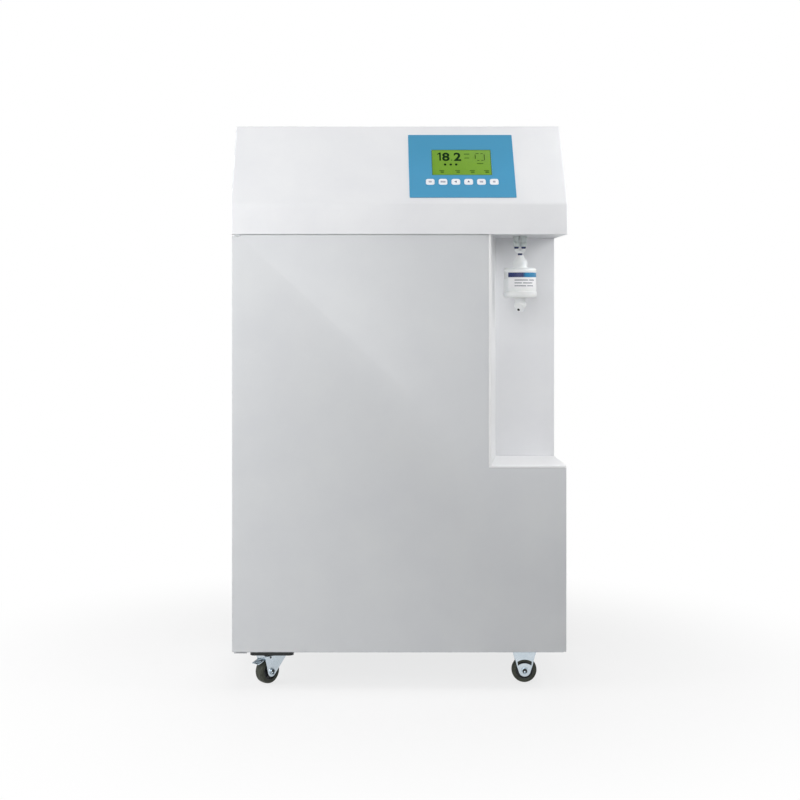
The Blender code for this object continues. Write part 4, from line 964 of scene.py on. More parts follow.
@dataclass(frozen=True)
class ControlPanel(Sizes):
    """The blue film, the lit display in its window and the six keys, on the slanted face."""

    film_left: float = 0.02
    film_foot: float = 0.0144
    film_width: float = 0.204
    film_height: float = 0.163
    film_sheet: float = 0.0008
    window_left: float = 0.0645
    window_foot: float = 0.0713
    window_width: float = 0.116
    window_height: float = 0.0665
    glass_depth: float = 0.0062
    key_count: int = 6
    key_across: float = 0.0604
    key_pitch: float = 0.0246
    key_up: float = 0.0538
    key_width: float = 0.0165
    key_height: float = 0.0145
    key_radius: float = 0.004
    key_depth: float = 0.0112
    key_top: float = 0.0019
    ink: float = 0.00012
    punch: float = 0.004
    rim_width: float = 0.0016
    figure_foot: float = 0.1092
    figure_height: float = 0.0212
    figure_share: float = 0.73
    figure_weight: float = 0.042
    arrow: float = 0.0031
    signs: tuple[tuple[Sign, float], ...] = (
        (Sign.BARS, 0.0062), (Sign.BARS, 0.01), (Sign.ARROW, 180), (Sign.ARROW, 90),
        (Sign.BARS, 0.007), (Sign.BARS, 0.0052),
    )

    def window(self, margin: float = 0.0) -> Outline:
        """The window's outline, widened by a margin."""
        centre = (self.window_left + self.window_width / 2, self.window_foot + self.window_height / 2)
        return rounded(centre, self.window_width + 2 * margin, self.window_height + 2 * margin, 0.0008, 3)

    def key_middle(self, index: int) -> Pair:
        """The middle of a key, from the left."""
        return (self.key_across + index * self.key_pitch, self.key_up)

    def key_loop(self, index: int, margin: float = 0.0) -> Outline:
        """A key's outline, widened by a margin."""
        width, height = self.key_width + 2 * margin, self.key_height + 2 * margin
        return rounded(self.key_middle(index), width, height, self.key_radius + margin)

    def punches(self) -> Object:
        """Solids of the window's and the keys' openings, to cut with.

        Returns:
            The solids as one object, which stands out of the slope on both sides.
        """
        at = self.slope(out=-self.punch)
        loops = [self.window(), *(self.key_loop(i, self.gap) for i in range(self.key_count))]
        return gathered("punches", [slab("punch", loop, 2 * self.punch, at) for loop in loops])

    def film(self) -> None:
        """The printed film, cut out over the display and round the keys."""
        centre = (self.film_left + self.film_width / 2, self.film_foot + self.film_height / 2)
        outline = rounded(centre, self.film_width, self.film_height, 0.0015, 4)
        piece = slab("control_film", outline, self.film_sheet, self.slope(out=self.gap))
        drilled(bevel_all(piece, 0.0002, 1), self.punches())
        dress(piece, FILM_BLUE, "control_overlay")

    def mark(self, outline: Outline, out: float, finish: Finish, depth: float) -> Object:
        """A raised mark on the slope: a pixel shape or printed ink."""
        return paint(slab("mark", outline, depth, self.slope(out=out)), finish)

    def figure(self, text: str, left: float) -> Object:
        """A bold figure on the display.

        Args:
            text: The figure.
            left: Where it starts, across the slope.

        Returns:
            The figure as a mesh.
        """
        piece = added("figure", bpy.ops.object.text_add)
        words = piece.data
        words.body = text
        words.size = self.figure_height / self.figure_share
        words.offset = self.figure_height * self.figure_weight
        words.extrude = self.ink / 2
        words.resolution_u = 6
        bpy.ops.object.convert(target="MESH")
        with editing(piece):
            tidy_mesh()
        settle(piece, self.slope(left, self.figure_foot, self.film_sheet + self.ink / 2))
        return paint(piece, LCD_DARK)

    def pixels(self) -> list[Object]:
        """The darkened shapes on the display: figures, units, a tank and rows of small signs.

        Returns:
            The painted shapes.
        """
        foot, height = self.figure_foot, self.figure_height
        one = [
            (0.0798, 0), (0.0829, 0), (0.0829, 1), (0.0806, 1), (0.076, 0.83), (0.076, 0.71), (0.0798, 0.82),
        ]
        outlines = [(LCD_DARK, [(x, foot + up * height) for x, up in one])]
        across, up, half, bar = 0.1586, 0.1186, 0.0088, 0.0014
        tank = (
            (-0.55, 1, 0.55, 0), (0.45, 1, 0.35, 0), (-1, 0.1, 0, 1.1), (1, 0.25, 0, 0.9),
            (-0.35, -1, 0.35, 0), (0.55, -1, 0.4, 0), (1, -0.65, 0, 0.5),
        )
        for x, y, wide, tall in tank:
            middle = (across + x * half, up + y * half)
            outlines.append((LCD_DARK, rounded(middle, wide * half + bar, tall * half + bar, 0.0006, 2)))
        for x in (0.0905, 0.1015, 0.112):
            outlines.append((LCD_DARK, rounded((x, 0.099), 0.0048, 0.0052, 0.0016, 3)))
        faint = [
            (0.1036, foot + 0.0014, 0.0026, 0.0026, 0.0008), (0.1332, 0.1262, 0.0115, 0.0022, 0.0009),
            (0.1332, 0.116, 0.01, 0.0022, 0.0009), (across, 0.1015, 0.0125, 0.0022, 0.0009),
        ]
        for x in (0.0835, 0.114, 0.1425, 0.17):
            faint += [(x, 0.0832, 0.01, 0.0018, 0.0007), (x + 0.001, 0.0792, 0.007, 0.003, 0.001)]
        outlines += [(LCD_FAINT, rounded((x, y), wide, tall, r, 2)) for x, y, wide, tall, r in faint]
        figures = [self.figure("8", 0.0853), self.figure("2", 0.1078)]
        return figures + [self.mark(loop, self.film_sheet, finish, self.ink) for finish, loop in outlines]

    def display(self) -> None:
        """The display: a moulded carrier, the lit glass and its darkened pixels."""
        face, inside = self.film_sheet, self.window(-self.gap)
        glass = slab("glass", inside, self.glass_depth, self.slope(out=face - self.glass_depth))
        paint(bevel_all(glass, 0.0004), LCD_GREEN)
        carrier = slab("carrier", self.window(0.006), 0.0044, self.slope(out=-0.0098))
        paint(bevel_all(carrier, 0.0006), BLACK_NYLON_AND_SHADE)
        rim = drilled(
            slab("rim", inside, 0.0001, self.slope(out=face - 0.00002)),
            slab("rim_hole", self.window(-self.rim_width), 0.004, self.slope(out=face - 0.002)),
        )
        paint(rim, LCD_EDGE)
        assembled("display_module", "dressed", [glass, carrier, rim, *self.pixels()], "display")

    def legend(self, index: int) -> list[Object]:
        """The sign printed on a key.

        Args:
            index: The key, from the left.

        Returns:
            An arrow, or two bars in place of a word.
        """
        x, y = self.key_middle(index)
        sign, value = self.signs[index]
        if sign is Sign.ARROW:
            turns = [math.radians(value + step) for step in (0, 120, 240)]
            outlines = [[(x + self.arrow * math.cos(t), y + self.arrow * math.sin(t)) for t in turns]]
        else:
            outlines = [rounded((x, y + row * 0.0012), value, 0.0013, 0.0005, 2) for row in (-1, 1)]
        return [self.mark(outline, self.key_top - 0.00002, INK_NAVY, self.ink / 2) for outline in outlines]

    def keys(self) -> None:
        """The moulded keys, each with a domed top edge and a printed sign."""
        at = self.slope(out=self.key_top - self.key_depth)
        for index in range(self.key_count):
            cap = slab("cap", self.key_loop(index), self.key_depth, at)
            pieces = [paint(bevel_all(cap, 0.0005, 3), KEY_WHITE), *self.legend(index)]
            assembled(f"key_{index + 1}", "moulded", pieces, "key_white", f"key_body_{index + 1}")

    def build(self) -> None:
        """Builds the panel."""
        self.film()
        self.display()
        self.keys()


@dataclass(frozen=True)
class Hood(Sizes):
    """The folded lid: front band, slanted face, flat top, back and both ends."""

    bend: float = 0.003

    def cover(self) -> None:
        """The lid itself, with openings for the display and the keys."""
        front, back, foot = self.front, self.back, self.hood_foot
        slant = [(front + self.slope_run, self.top), (front, self.slope_foot)]
        profile = [(front, foot), (back, foot), (back, self.top), *slant]
        piece = slab("hood_cover.folded", profile, 2 * self.hood_side, Plane.SIDE.at(-self.hood_side))
        drop_faces(piece, lambda middle, normal: normal.z < -0.9)
        folded(piece, self.bend, self.sheet)
        drilled(piece, ControlPanel().punches())
        dress(piece, WHITE_COAT, "hood_cover")

    def build(self) -> None:
        """Builds the hood over its deck."""
        self.cover()
        refinish("hood_deck", SILVER_COAT)


@dataclass(frozen=True)
class FrontDoor(Sizes):
    """The L-shaped door: a folded pan with a stiffener and a foam strip inside."""

    depth: float = 0.015
    top_edge: float = 0.864
    notch_edge: float = 0.17
    bend: float = 0.002
    notch_radius: float = 0.003
    pin: Pair = (-0.311, -0.2305)
    pin_radius: float = 0.0033
    pin_reach: float = 0.004
    rim: float = 0.8669
    rim_inset: float = 0.0145
    proud: float = 0.0001
    seal_margins: Pair = (0.022, 0.03)
    seal_depth: float = 0.006

    def outline(self, margin: float = 0.0) -> Outline:
        """The door's outline from the front.

        Args:
            margin: How far it is drawn in.

        Returns:
            Its (across, up) points.
        """
        left, right = margin - self.side, self.side - margin
        foot, head = self.panel_bottom + margin, self.top_edge - margin
        notch, shoulder = self.notch_edge - margin, self.door_shoulder - margin
        return [
            (left, foot), (right, foot), (right, shoulder), (notch, shoulder), (notch, head), (left, head),
        ]

    def skin(self) -> Object:
        """The front skin: the door's own outline, raised at the top to a rim that ends short of the hinge.

        Returns:
            The painted skin.
        """
        *lower, head, left = self.outline()
        clear = left[0] + self.rim_inset
        outline = [*lower, (head[0], self.rim), (clear, self.rim), (clear, left[1]), left]
        back = Plane.FRONT.at(y=self.door_front + self.sheet / 2)
        piece = slab("skin", outline, self.sheet / 2 + self.proud, back)
        return paint(bevel_all(piece, 0.0003), SILVER_COAT)

    def pan(self) -> Object:
        """The folded pan, with rounded corners at the notch and holes for the hinge pins.

        Returns:
            The painted pan.
        """
        piece = slab("pan", self.outline(), self.depth, Plane.FRONT.at(y=self.door_front + self.depth))
        notch = Vector((self.notch_edge, self.door_shoulder))

        def at_notch(middle: Vector, line: Vector) -> bool:
            """Says whether an edge runs through the door at the notch's inner corner."""
            return abs(line.y) > 0.9 and (middle.xz - notch).length < MM

        bevel(piece, self.notch_radius, 4, at_notch)
        drop_faces(piece, lambda middle, normal: normal.y > 0.9)
        folded(piece, self.bend, self.sheet)
        x, y = self.pin
        bores = [
            rod("bore", (x, y, end - self.pin_reach), (x, y, end + self.pin_reach), self.pin_radius, 24)
            for end in (self.panel_bottom, self.top_edge)
        ]
        return paint(drilled(piece, *bores), SILVER_COAT)

    def stiffener(self) -> Object:
        """A hat-section channel spot-welded up the inside of the door.

        Returns:
            The painted channel.
        """
        hat = [(0.03, 0), (0.016, 0), (0.012, 0.009), (-0.012, 0.009), (-0.016, 0), (-0.03, 0)]
        foot, sheet = self.door_front + self.sheet + 0.00005, 0.0012
        at = Plane.PLAN.at(-0.075, foot, 0.14)
        path = [(x, y + sheet) for x, y in hat]
        return paint(bent("stiffener", path, 0.64, at, 0.002, sheet), SILVER_COAT)

    def seal(self) -> Object:
        """The foam strip round the inside of the door.

        Returns:
            The painted strip.
        """
        outer, inner = self.seal_margins
        inside = Plane.FRONT.at(y=self.door_front + self.sheet + self.seal_depth)
        strip = slab("seal", self.outline(outer), self.seal_depth, inside)
        hole = slab("hole", self.outline(inner), 0.03, Plane.FRONT.at(y=self.door_front + 0.03))
        return paint(bevel_all(drilled(strip, hole), 0.001), FOAM)

    def build(self) -> None:
        """Builds the door."""
        pieces = [self.pan(), self.skin(), self.stiffener(), self.seal()]
        assembled("front_door", "folded", pieces, "grey_enamel", "door")


@dataclass(frozen=True)
class DispensingNiche(Sizes):
    """The niche at the right: a splayed side wall, a back wall and a floor with a front lip."""

    bend: float = 0.002

    def side_wall(self) -> None:
        """The side wall, folded to a narrow strip in front."""
        foot = self.niche_floor + self.gap
        front, back = (self.niche_inner, self.door_front), (self.niche_back_left, self.niche_back)
        path = [(self.niche_left, self.door_front), front, back]
        height, at = self.hood_foot - foot, Plane.PLAN.at(z=foot)
        wall = bent("niche_side_wall.folded", path, height, at, self.bend, self.sheet)
        # The lining coat is the white coat painted brighter: painted light on the side wall
        dress(wall, LIT_LINING_COAT, "niche_side_wall")

    def floor(self) -> None:
        """The floor, folded down to a lip in front."""
        rear = self.niche_back + self.gap + self.sheet
        lip = self.door_shoulder + self.bend / 4
        path = [(rear, self.niche_floor), (self.door_front, self.niche_floor), (self.door_front, lip)]
        width = self.side - self.niche_left
        piece = bent("niche_floor.folded", path, width, Plane.SIDE.at(self.niche_left), self.bend, self.sheet)
        # The lining coat is the white coat painted brighter: painted light on the floor
        dress(piece, LIT_LINING_COAT, "niche_floor")

    def build(self) -> None:
        """Builds the niche."""
        self.side_wall()
        self.floor()
        refinish("niche_back_wall", WHITE_COAT)


@dataclass(frozen=True)
class FilterAssembly(Sizes):
    """Two push-fit fittings under the niche's ceiling, a Y connector, the capsule filter and its nozzle."""

    axis: Pair = (0.239, -0.153)
    ceiling: float = 0.8683
    half_spread: float = 0.007
    neck_top: float = 0.8302
    shoulder: float = 0.8057
    base: float = 0.7477
    wall: float = 0.0312
    label_foot: float = 0.7655
    label_head: float = 0.7963
    label_span: Pair = (-143.0, 35.0)
    mouth: Triple = (0.2356, -0.1568, 0.7238)
    mouth_way: Triple = (-0.42, -0.75, -0.45)

    def at(self, across: float = 0.0, height: float = 0.0) -> Matrix:
        """A place on the filter's axis, or beside it."""
        return Plane.PLAN.at(self.axis[0] + across, self.axis[1], height)

    def ribs(
        self, at: Matrix, turns: Iterable[float], ends: Sequence[float], ring: float, radius: float,
        finish: Finish,
    ) -> list[Object]:
        """Upright ribs round an axis.

        Args:
            at: The axis.
            turns: The angle of each rib, in degrees.
            ends: The heights of their feet and heads.
            ring: How far they are from the axis.
            radius: The radius of each.
            finish: Their finish.

        Returns:
            The painted ribs.
        """
        foot, head = (at @ Vector((0, 0, height)) for height in ends)
        angles = [math.radians(turn) for turn in turns]
        places = [ring * Vector((math.cos(angle), math.sin(angle), 0)) for angle in angles]
        first = paint(rod("rib", foot + places[0], head + places[0], radius, 8), finish)
        others = [copied(first, "rib", Matrix.Translation(place - places[0])) for place in places[1:]]
        return [first, *others]

    def fitting(self, across: float) -> Object:
        """A push-fit fitting: hexagonal nut over the deck, ribbed body under it and a dark collet.

        Args:
            across: How far it is from the filter's axis.

        Returns:
            The painted fitting.
        """
        at = self.at(across, self.ceiling)
        body = [
            (0, 0.0168), (0.0042, 0.0168), (0.005, 0.016), (0.005, -0.0004), (0.0064, -0.0004),
            (0.0064, -0.0034), (0.0058, -0.004), (0.0054, -0.0046), (0.0054, -0.012), (0.006, -0.0128),
            (0.0064, -0.0134), (0.0064, -0.0196), (0.0058, -0.0209), (0.0048, -0.021), (0, -0.021),
        ]
        collet = [
            (0, -0.0208), (0.0046, -0.0208), (0.0046, -0.0228), (0.004, -0.0244), (0.0034, -0.0249),
            (0, -0.0249),
        ]
        nut = slab("nut", arc((0, 0), 0.0067, 0, 300, 5), 0.006, self.at(across, self.ceiling + 0.0018))
        pieces = [
            paint(lathe("body", body, at), ACETAL_GREY),
            paint(lathe("collet", collet, at), COLLET_BLUE),
            paint(bevel_all(nut, 0.0005), ACETAL_GREY),
            *self.ribs(at, range(0, 360, 45), (-0.0122, -0.0046), 0.0055, 0.0005, ACETAL_GREY),
        ]
        return gathered("dispense_fitting", pieces)

    def connector(self) -> None:
        """The Y connector: two legs that run together into one stem with a dark ring."""
        x, y = self.axis
        meet = Vector((x, y, 0.8352))
        ball = [(0.0001, 0.0034), *arc((0, 0), 0.0034, 80, -80, 8), (0.0001, -0.0034)]
        parts = []
        for hand in (-1, 1):
            bend = Vector((x + hand * self.half_spread, y, 0.8398))
            parts.append(rod("leg", bend + Vector((0, 0, 0.0032)), bend, 0.0032, 24))
            parts.append(rod("arm", bend + (bend - meet) * 0.12, meet, 0.0034, 24))
            parts.append(lathe("elbow", ball, Matrix.Translation(bend), 24))
        stem = rod("stem", (x, y, 0.8372), (x, y, 0.8342), 0.0042)
        body = paint(fused(stem, *parts), WHITE_POLYPROPYLENE)
        ring = [
            (0, 0.8344), (0.0042, 0.8344), (0.0045, 0.8338), (0.0045, 0.8312), (0.004, 0.8306), (0, 0.8306),
        ]
        pieces = [body, paint(lathe("ring", ring, self.at()), COLLET_BLUE)]
        assembled("wye_connector", "moulded", pieces, "white_plastic")

    def patch(self, out: float, low: float, high: float, finish: Finish, span: Sequence[float]) -> Object:
        """A thin curved patch round the capsule.

        Args:
            out: How far it stands out of the capsule's wall.
            low: Its lower edge.
            high: Its upper edge.
            finish: Its finish.
            span: The angles that it runs from and to, in degrees.

        Returns:
            The painted patch.
        """
        steps = max(2, round(abs(span[1] - span[0]) / 5))
        inner, outer = (arc((0, 0), self.wall + out + thick, *span, steps) for thick in (0, 0.00015))
        return paint(slab("patch", [*outer, *reversed(inner)], high - low, self.at(0, low)), finish)

    def label(self) -> list[Object]:
        """The paper label with its printed band and plain rules in place of words.

        Returns:
            The painted label, band and rules.
        """
        head, print_out = self.label_head, 0.00018
        pieces = [
            self.patch(0.00003, self.label_foot, head, LABEL, self.label_span),
            self.patch(print_out, 0.7872, head, BAND_BLUE, self.label_span),
        ]
        rules = (
            (0.7816, (-116, -66)), (0.7816, (-62, -38)), (0.776, (-116, -90)), (0.776, (-86, -48)),
            (0.7704, (-116, -74)), (0.7704, (-70, -44)),
        )
        half = 0.0007
        for up, span in rules:
            pieces.append(self.patch(print_out, up - half, up + half, INK_GREY, span))
        return pieces

    def capsule(self) -> None:
        """The capsule: tapered neck with grips, welded body with ribs behind the label, and lower neck."""
        profile = [
            (0, self.neck_top), (0.0066, self.neck_top), (0.0076, 0.8292), (0.0082, 0.826), (0.012, 0.8215),
            (0.0136, 0.819), (0.014, 0.816), (0.014, 0.8075), (0.0146, 0.806), (0.017, self.shoulder),
            (0.0262, self.shoulder), (0.0292, 0.8051), (0.031, 0.8036), (0.0318, 0.8012), (0.0318, 0.7984),
            (self.wall, 0.7976), (self.wall, 0.7598), (0.0325, 0.7588), (0.0325, 0.7522), (0.0318, 0.7498),
            (0.0302, 0.7483), (0.028, self.base), (0.0118, self.base), (0.0107, 0.747), (0.0105, 0.746),
            (0.0105, 0.7377), (0, 0.7377),
        ]
        body = paint(lathe("body", profile, self.at(), 72), WHITE_POLYPROPYLENE)
        start, end = self.label_span
        bare = [turn for turn in range(0, 360, 6) if (turn - start) % 360 > end - start + 6]
        at = self.at()
        ribs = self.ribs(at, bare, (0.7612, 0.7842), self.wall + 0.0001, 0.0008, WHITE_POLYPROPYLENE)
        grips = self.ribs(at, range(0, 360, 20), (0.808, 0.8165), 0.0134, 0.0009, WHITE_POLYPROPYLENE)
        assembled("filter_capsule", "moulded", [body, *ribs, *grips, *self.label()], "white_plastic")

    def nozzle(self) -> None:
        """The outlet nozzle: a flared bell whose tip is cut aslant to its bore, with a black disc in the
        mouth as painted shade.
        """
        profile = [
            (0, 0.7374), (0.0108, 0.7374), (0.0118, 0.7362), (0.012, 0.734), (0.012, 0.7306),
            (0.0112, 0.7286), (0.0084, 0.7258), (0.0066, 0.7232), (0.0058, 0.7206), (0.005, 0.7199),
            (0.0038, 0.7204), (0.0035, 0.7212), (0.0035, 0.7239), (0, 0.7239),
        ]
        bell = lathe("bell", profile, self.at(), 40)
        mouth = Matrix.Translation(self.mouth) @ facing(Vector(self.mouth_way))
        drilled(bell, settle(block("chamfer", (-0.02, -0.02, 0), (0.02, 0.02, 0.02)), mouth))
        rim = [(0, 0.0003), (0.0024, 0.0003), (0.0027, 0), (0.0027, -0.001), (0, -0.001)]
        # A black disc in the mouth: painted shade for the bore
        bore = paint(lathe("bore", rim, mouth, 24), BLACK_NYLON_AND_SHADE)
        assembled("outlet_nozzle", "moulded", [paint(bell, WHITE_POLYPROPYLENE), bore], "white_plastic")

    def build(self) -> None:
        """Builds the filter and what it hangs from."""
        twins(self.fitting(-self.half_spread), "dispense_fitting", 2 * self.half_spread)
        self.connector()
        self.capsule()
        self.nozzle()


@dataclass(frozen=True)
class Caster(Sizes):
    """What every caster has: a rubber-tyred wheel, a hollow axle and two legs round them.

    Its corner is the one in its nodes' names, and its turn is the way that its wheel trails, in degrees
    from the X axis.
    """

    corner: str = ""
    place: Pair = (0.0, 0.0)
    turn: float = 0.0
    trail: float = 0.0
    axle_height: float = 0.02429
    tread: float = 0.02427
    leg_inner: float = 0.0115
    leg_sheet: float = 0.002
    eye: float = 0.01
    seat: float = 0.0138
    rivet_end: float = 0.0173

    @property
    def reach(self) -> float:
        """How far the legs' outer faces are from the wheel's middle."""
        return self.leg_inner + self.leg_sheet

    def view(self, along: float = 0.0, up: float = 0.0, out: float = 0.0) -> Matrix:
        """The caster's side view.

        Args:
            along: How far a place is along its trail.
            up: Its height.
            out: How far it is out along the axle.

        Returns:
            The place, with its own Z axis along the axle.
        """
        turn = math.radians(self.turn)
        ahead = Vector((math.cos(turn), math.sin(turn), 0))
        return moved(*self.place) @ laid(ahead, Vector((0, 0, 1))) @ moved(along, up, out)

    def both_sides(self, half: Outline) -> Outline:
        """A (radius, out) profile continued on the other side of the wheel."""
        return [*half, *((radius, -out) for radius, out in reversed(half))]

    def wheel(self) -> None:
        """A crowned tyre on a ribbed black hub."""
        at = self.view(self.trail, self.axle_height)
        tyre = [
            (0.0163, 0.0097), (0.02, 0.0098), (0.0219, 0.0094), (0.0234, 0.0078), (0.024, 0.005),
            (self.tread, 0.0018),
        ]
        hub = [
            (0.0034, 0.01), (0.0064, 0.01), (0.007, 0.0094), (0.0072, 0.0078), (0.0146, 0.0076),
            (0.0154, 0.0098), (0.0165, 0.01), (0.017, 0.0092),
        ]
        pieces = [
            paint(lathe("tyre", self.both_sides(tyre), at, 64), TYRE),
            paint(lathe("hub", self.both_sides(hub), at, 48), HUB_BLACK),
        ]
        for step in range(8):
            rib = block("rib", (0.0066, -0.0006, -0.0092), (0.0152, 0.0006, 0.0092))
            pieces.append(paint(settle(rib, at @ spun(45 * step)), HUB_BLACK))
        assembled(f"caster_wheel_{self.corner}", "moulded", pieces, "wheel_rubber", f"wheel_{self.corner}")

    def axle(self, body: str) -> None:
        """A hollow rivet through both legs, with a black disc in each head's recess as painted shade.

        Args:
            body: The body that carries it.
        """
        at, seat, end = self.view(self.trail, self.axle_height), self.seat, self.rivet_end
        half = [
            (0, seat + 0.0007), (0.0044, seat + 0.0007), (0.0046, end - 0.0004), (0.005, end),
            (0.0056, end - 0.0005), (0.0058, end - 0.0014), (0.0058, seat), (0.003, seat),
        ]
        shade_disc = [(0, seat + 0.0012), (0.0044, seat + 0.0012), (0.0044, seat + 0.0008), (0, seat + 0.0008)]
        dome = [(0, 0.0012), (0.0012, 0.0009), (0.0021, 0), (0, 0)]
        pieces = [paint(lathe("rivet", self.both_sides(half), at, 32), ZINC)]
        for hand in (1, -1):
            # The black disc is painted shade, deep in the hollow head
            recess = lathe("recess", [(radius, hand * out) for radius, out in shade_disc], at, 24)
            place = moved(0, -0.0022, hand * (seat + 0.0011)) @ Matrix.Diagonal((1, 1, hand, 1))
            pieces += [paint(recess, BLACK_COAT_AND_SHADE), paint(lathe("dome", dome, at @ place, 20), ZINC)]
        assembled(f"caster_axle_{self.corner}", "riveted", pieces, "zinc", body)

    def leg_loop(self, uppers: Outline) -> Outline:
        """A leg's outline: round at the axle and straight to the upper points.

        Args:
            uppers: The upper points of its left side, which are mirrored to the right.

        Returns:
            Its (along, up) points.
        """
        axle = Vector((self.trail, self.axle_height))
        right = [(-across, up) for across, up in reversed(uppers)]

        def touch(point: Point, side: int) -> float:
            """The angle at which a line from a point touches the round, on one side of it."""
            away = Vector(point) - axle
            return math.degrees(math.atan2(away.y, away.x) + side * math.acos(self.eye / away.length))

        start, end = touch(uppers[-1], 1) % 360, touch(right[0], -1) + 360
        return [*uppers, *arc(axle, self.eye, start, end, 16), *right]

    def pressed(self, uppers: Outline, bend: float, room: Outline) -> Object:
        """The fork pressed from one sheet: two legs and the crown between them.

        Args:
            uppers: A leg's upper points, on its left side.
            bend: The outer radius between the crown and the legs.
            room: The side outline of the room between the legs, under the crown.

        Returns:
            The fork.
        """
        top = max(up for _, up in uppers)
        fork = slab("fork", self.leg_loop(uppers), 2 * self.reach, self.view(out=-self.reach))
        to_local = self.view().inverted()

        def at_bend(middle: Vector, line: Vector) -> bool:
            """Says whether an edge lies between the crown and a leg."""
            local = to_local @ middle
            return abs(local.y - top) < WELD and abs(abs(local.z) - self.reach) < WELD

        bevel(fork, bend, 4, at_bend)
        drilled(fork, slab("room", room, 2 * self.leg_inner, self.view(out=-self.leg_inner)))
        return bevel_all(fork, 0.0004)

    def bosses(self) -> list[Object]:
        """Pressed rings on the outer faces of the legs, round the axle.

        Returns:
            The painted rings.
        """
        at, low, high = self.view(self.trail, self.axle_height), self.reach - 0.0002, self.reach + 0.0004
        ring = [(0.0062, low), (0.0064, high), (0.0074, high), (0.008, low)]
        loops = [[(radius, hand * out) for radius, out in ring] for hand in (1, -1)]
        return [paint(lathe("boss", loop, at, 32), ZINC) for loop in loops]


@dataclass(frozen=True)
class RigidCaster(Caster):
    """A caster that only rolls, with a crown that narrows to rounded triangular legs."""

    top: float = 0.0677
    crown_half: float = 0.0245
    waist_half: float = 0.0168
    waist_drop: float = 0.0272
    cheek_half: float = 0.0153
    cheek_rise: float = 0.0095
    eye: float = 0.0115
    plate_half: float = 0.029
    screw_across: float = 0.0215

    def fork(self) -> None:
        """The fork, with an arched slot over the wheel and two screws through its plate."""
        waist = (-self.waist_half, self.top - self.waist_drop)
        uppers = [(-self.crown_half, self.top), waist, (-self.cheek_half, self.axle_height + self.cheek_rise)]
        under = self.top - self.leg_sheet
        room = [(-0.06, -0.01), (0.06, -0.01), (0.06, under), (-0.06, under)]
        fork = self.pressed(uppers, 0.0035, room)
        slot = [*arc((0, -0.0046), 0.026, 57, 123, 12), *reversed(arc((0, -0.0074), 0.0215, 53, 127, 12))]
        at = self.view(self.trail, self.axle_height, -2 * self.reach)
        drilled(fork, slab("slot", slot, 4 * self.reach, at))
        x, y = self.place
        outline = rounded((0, 0), 2 * self.crown_half, 2 * self.plate_half, 0.005, 5)
        plate = slab("plate", outline, self.leg_sheet, Plane.PLAN.at(x, y, under))
        pieces = [paint(fork, ZINC), paint(bevel_all(plate, 0.0004), ZINC), *self.bosses()]
        for hand in (1, -1):
            pieces.append(screw((x, y + hand * self.screw_across, under), (0, 0, -1), 0.0034))
        assembled(f"caster_fork_{self.corner}", "pressed", pieces, "zinc")

    def build(self) -> None:
        """Builds the caster."""
        self.fork()
        self.wheel()
        self.axle("cabinet")


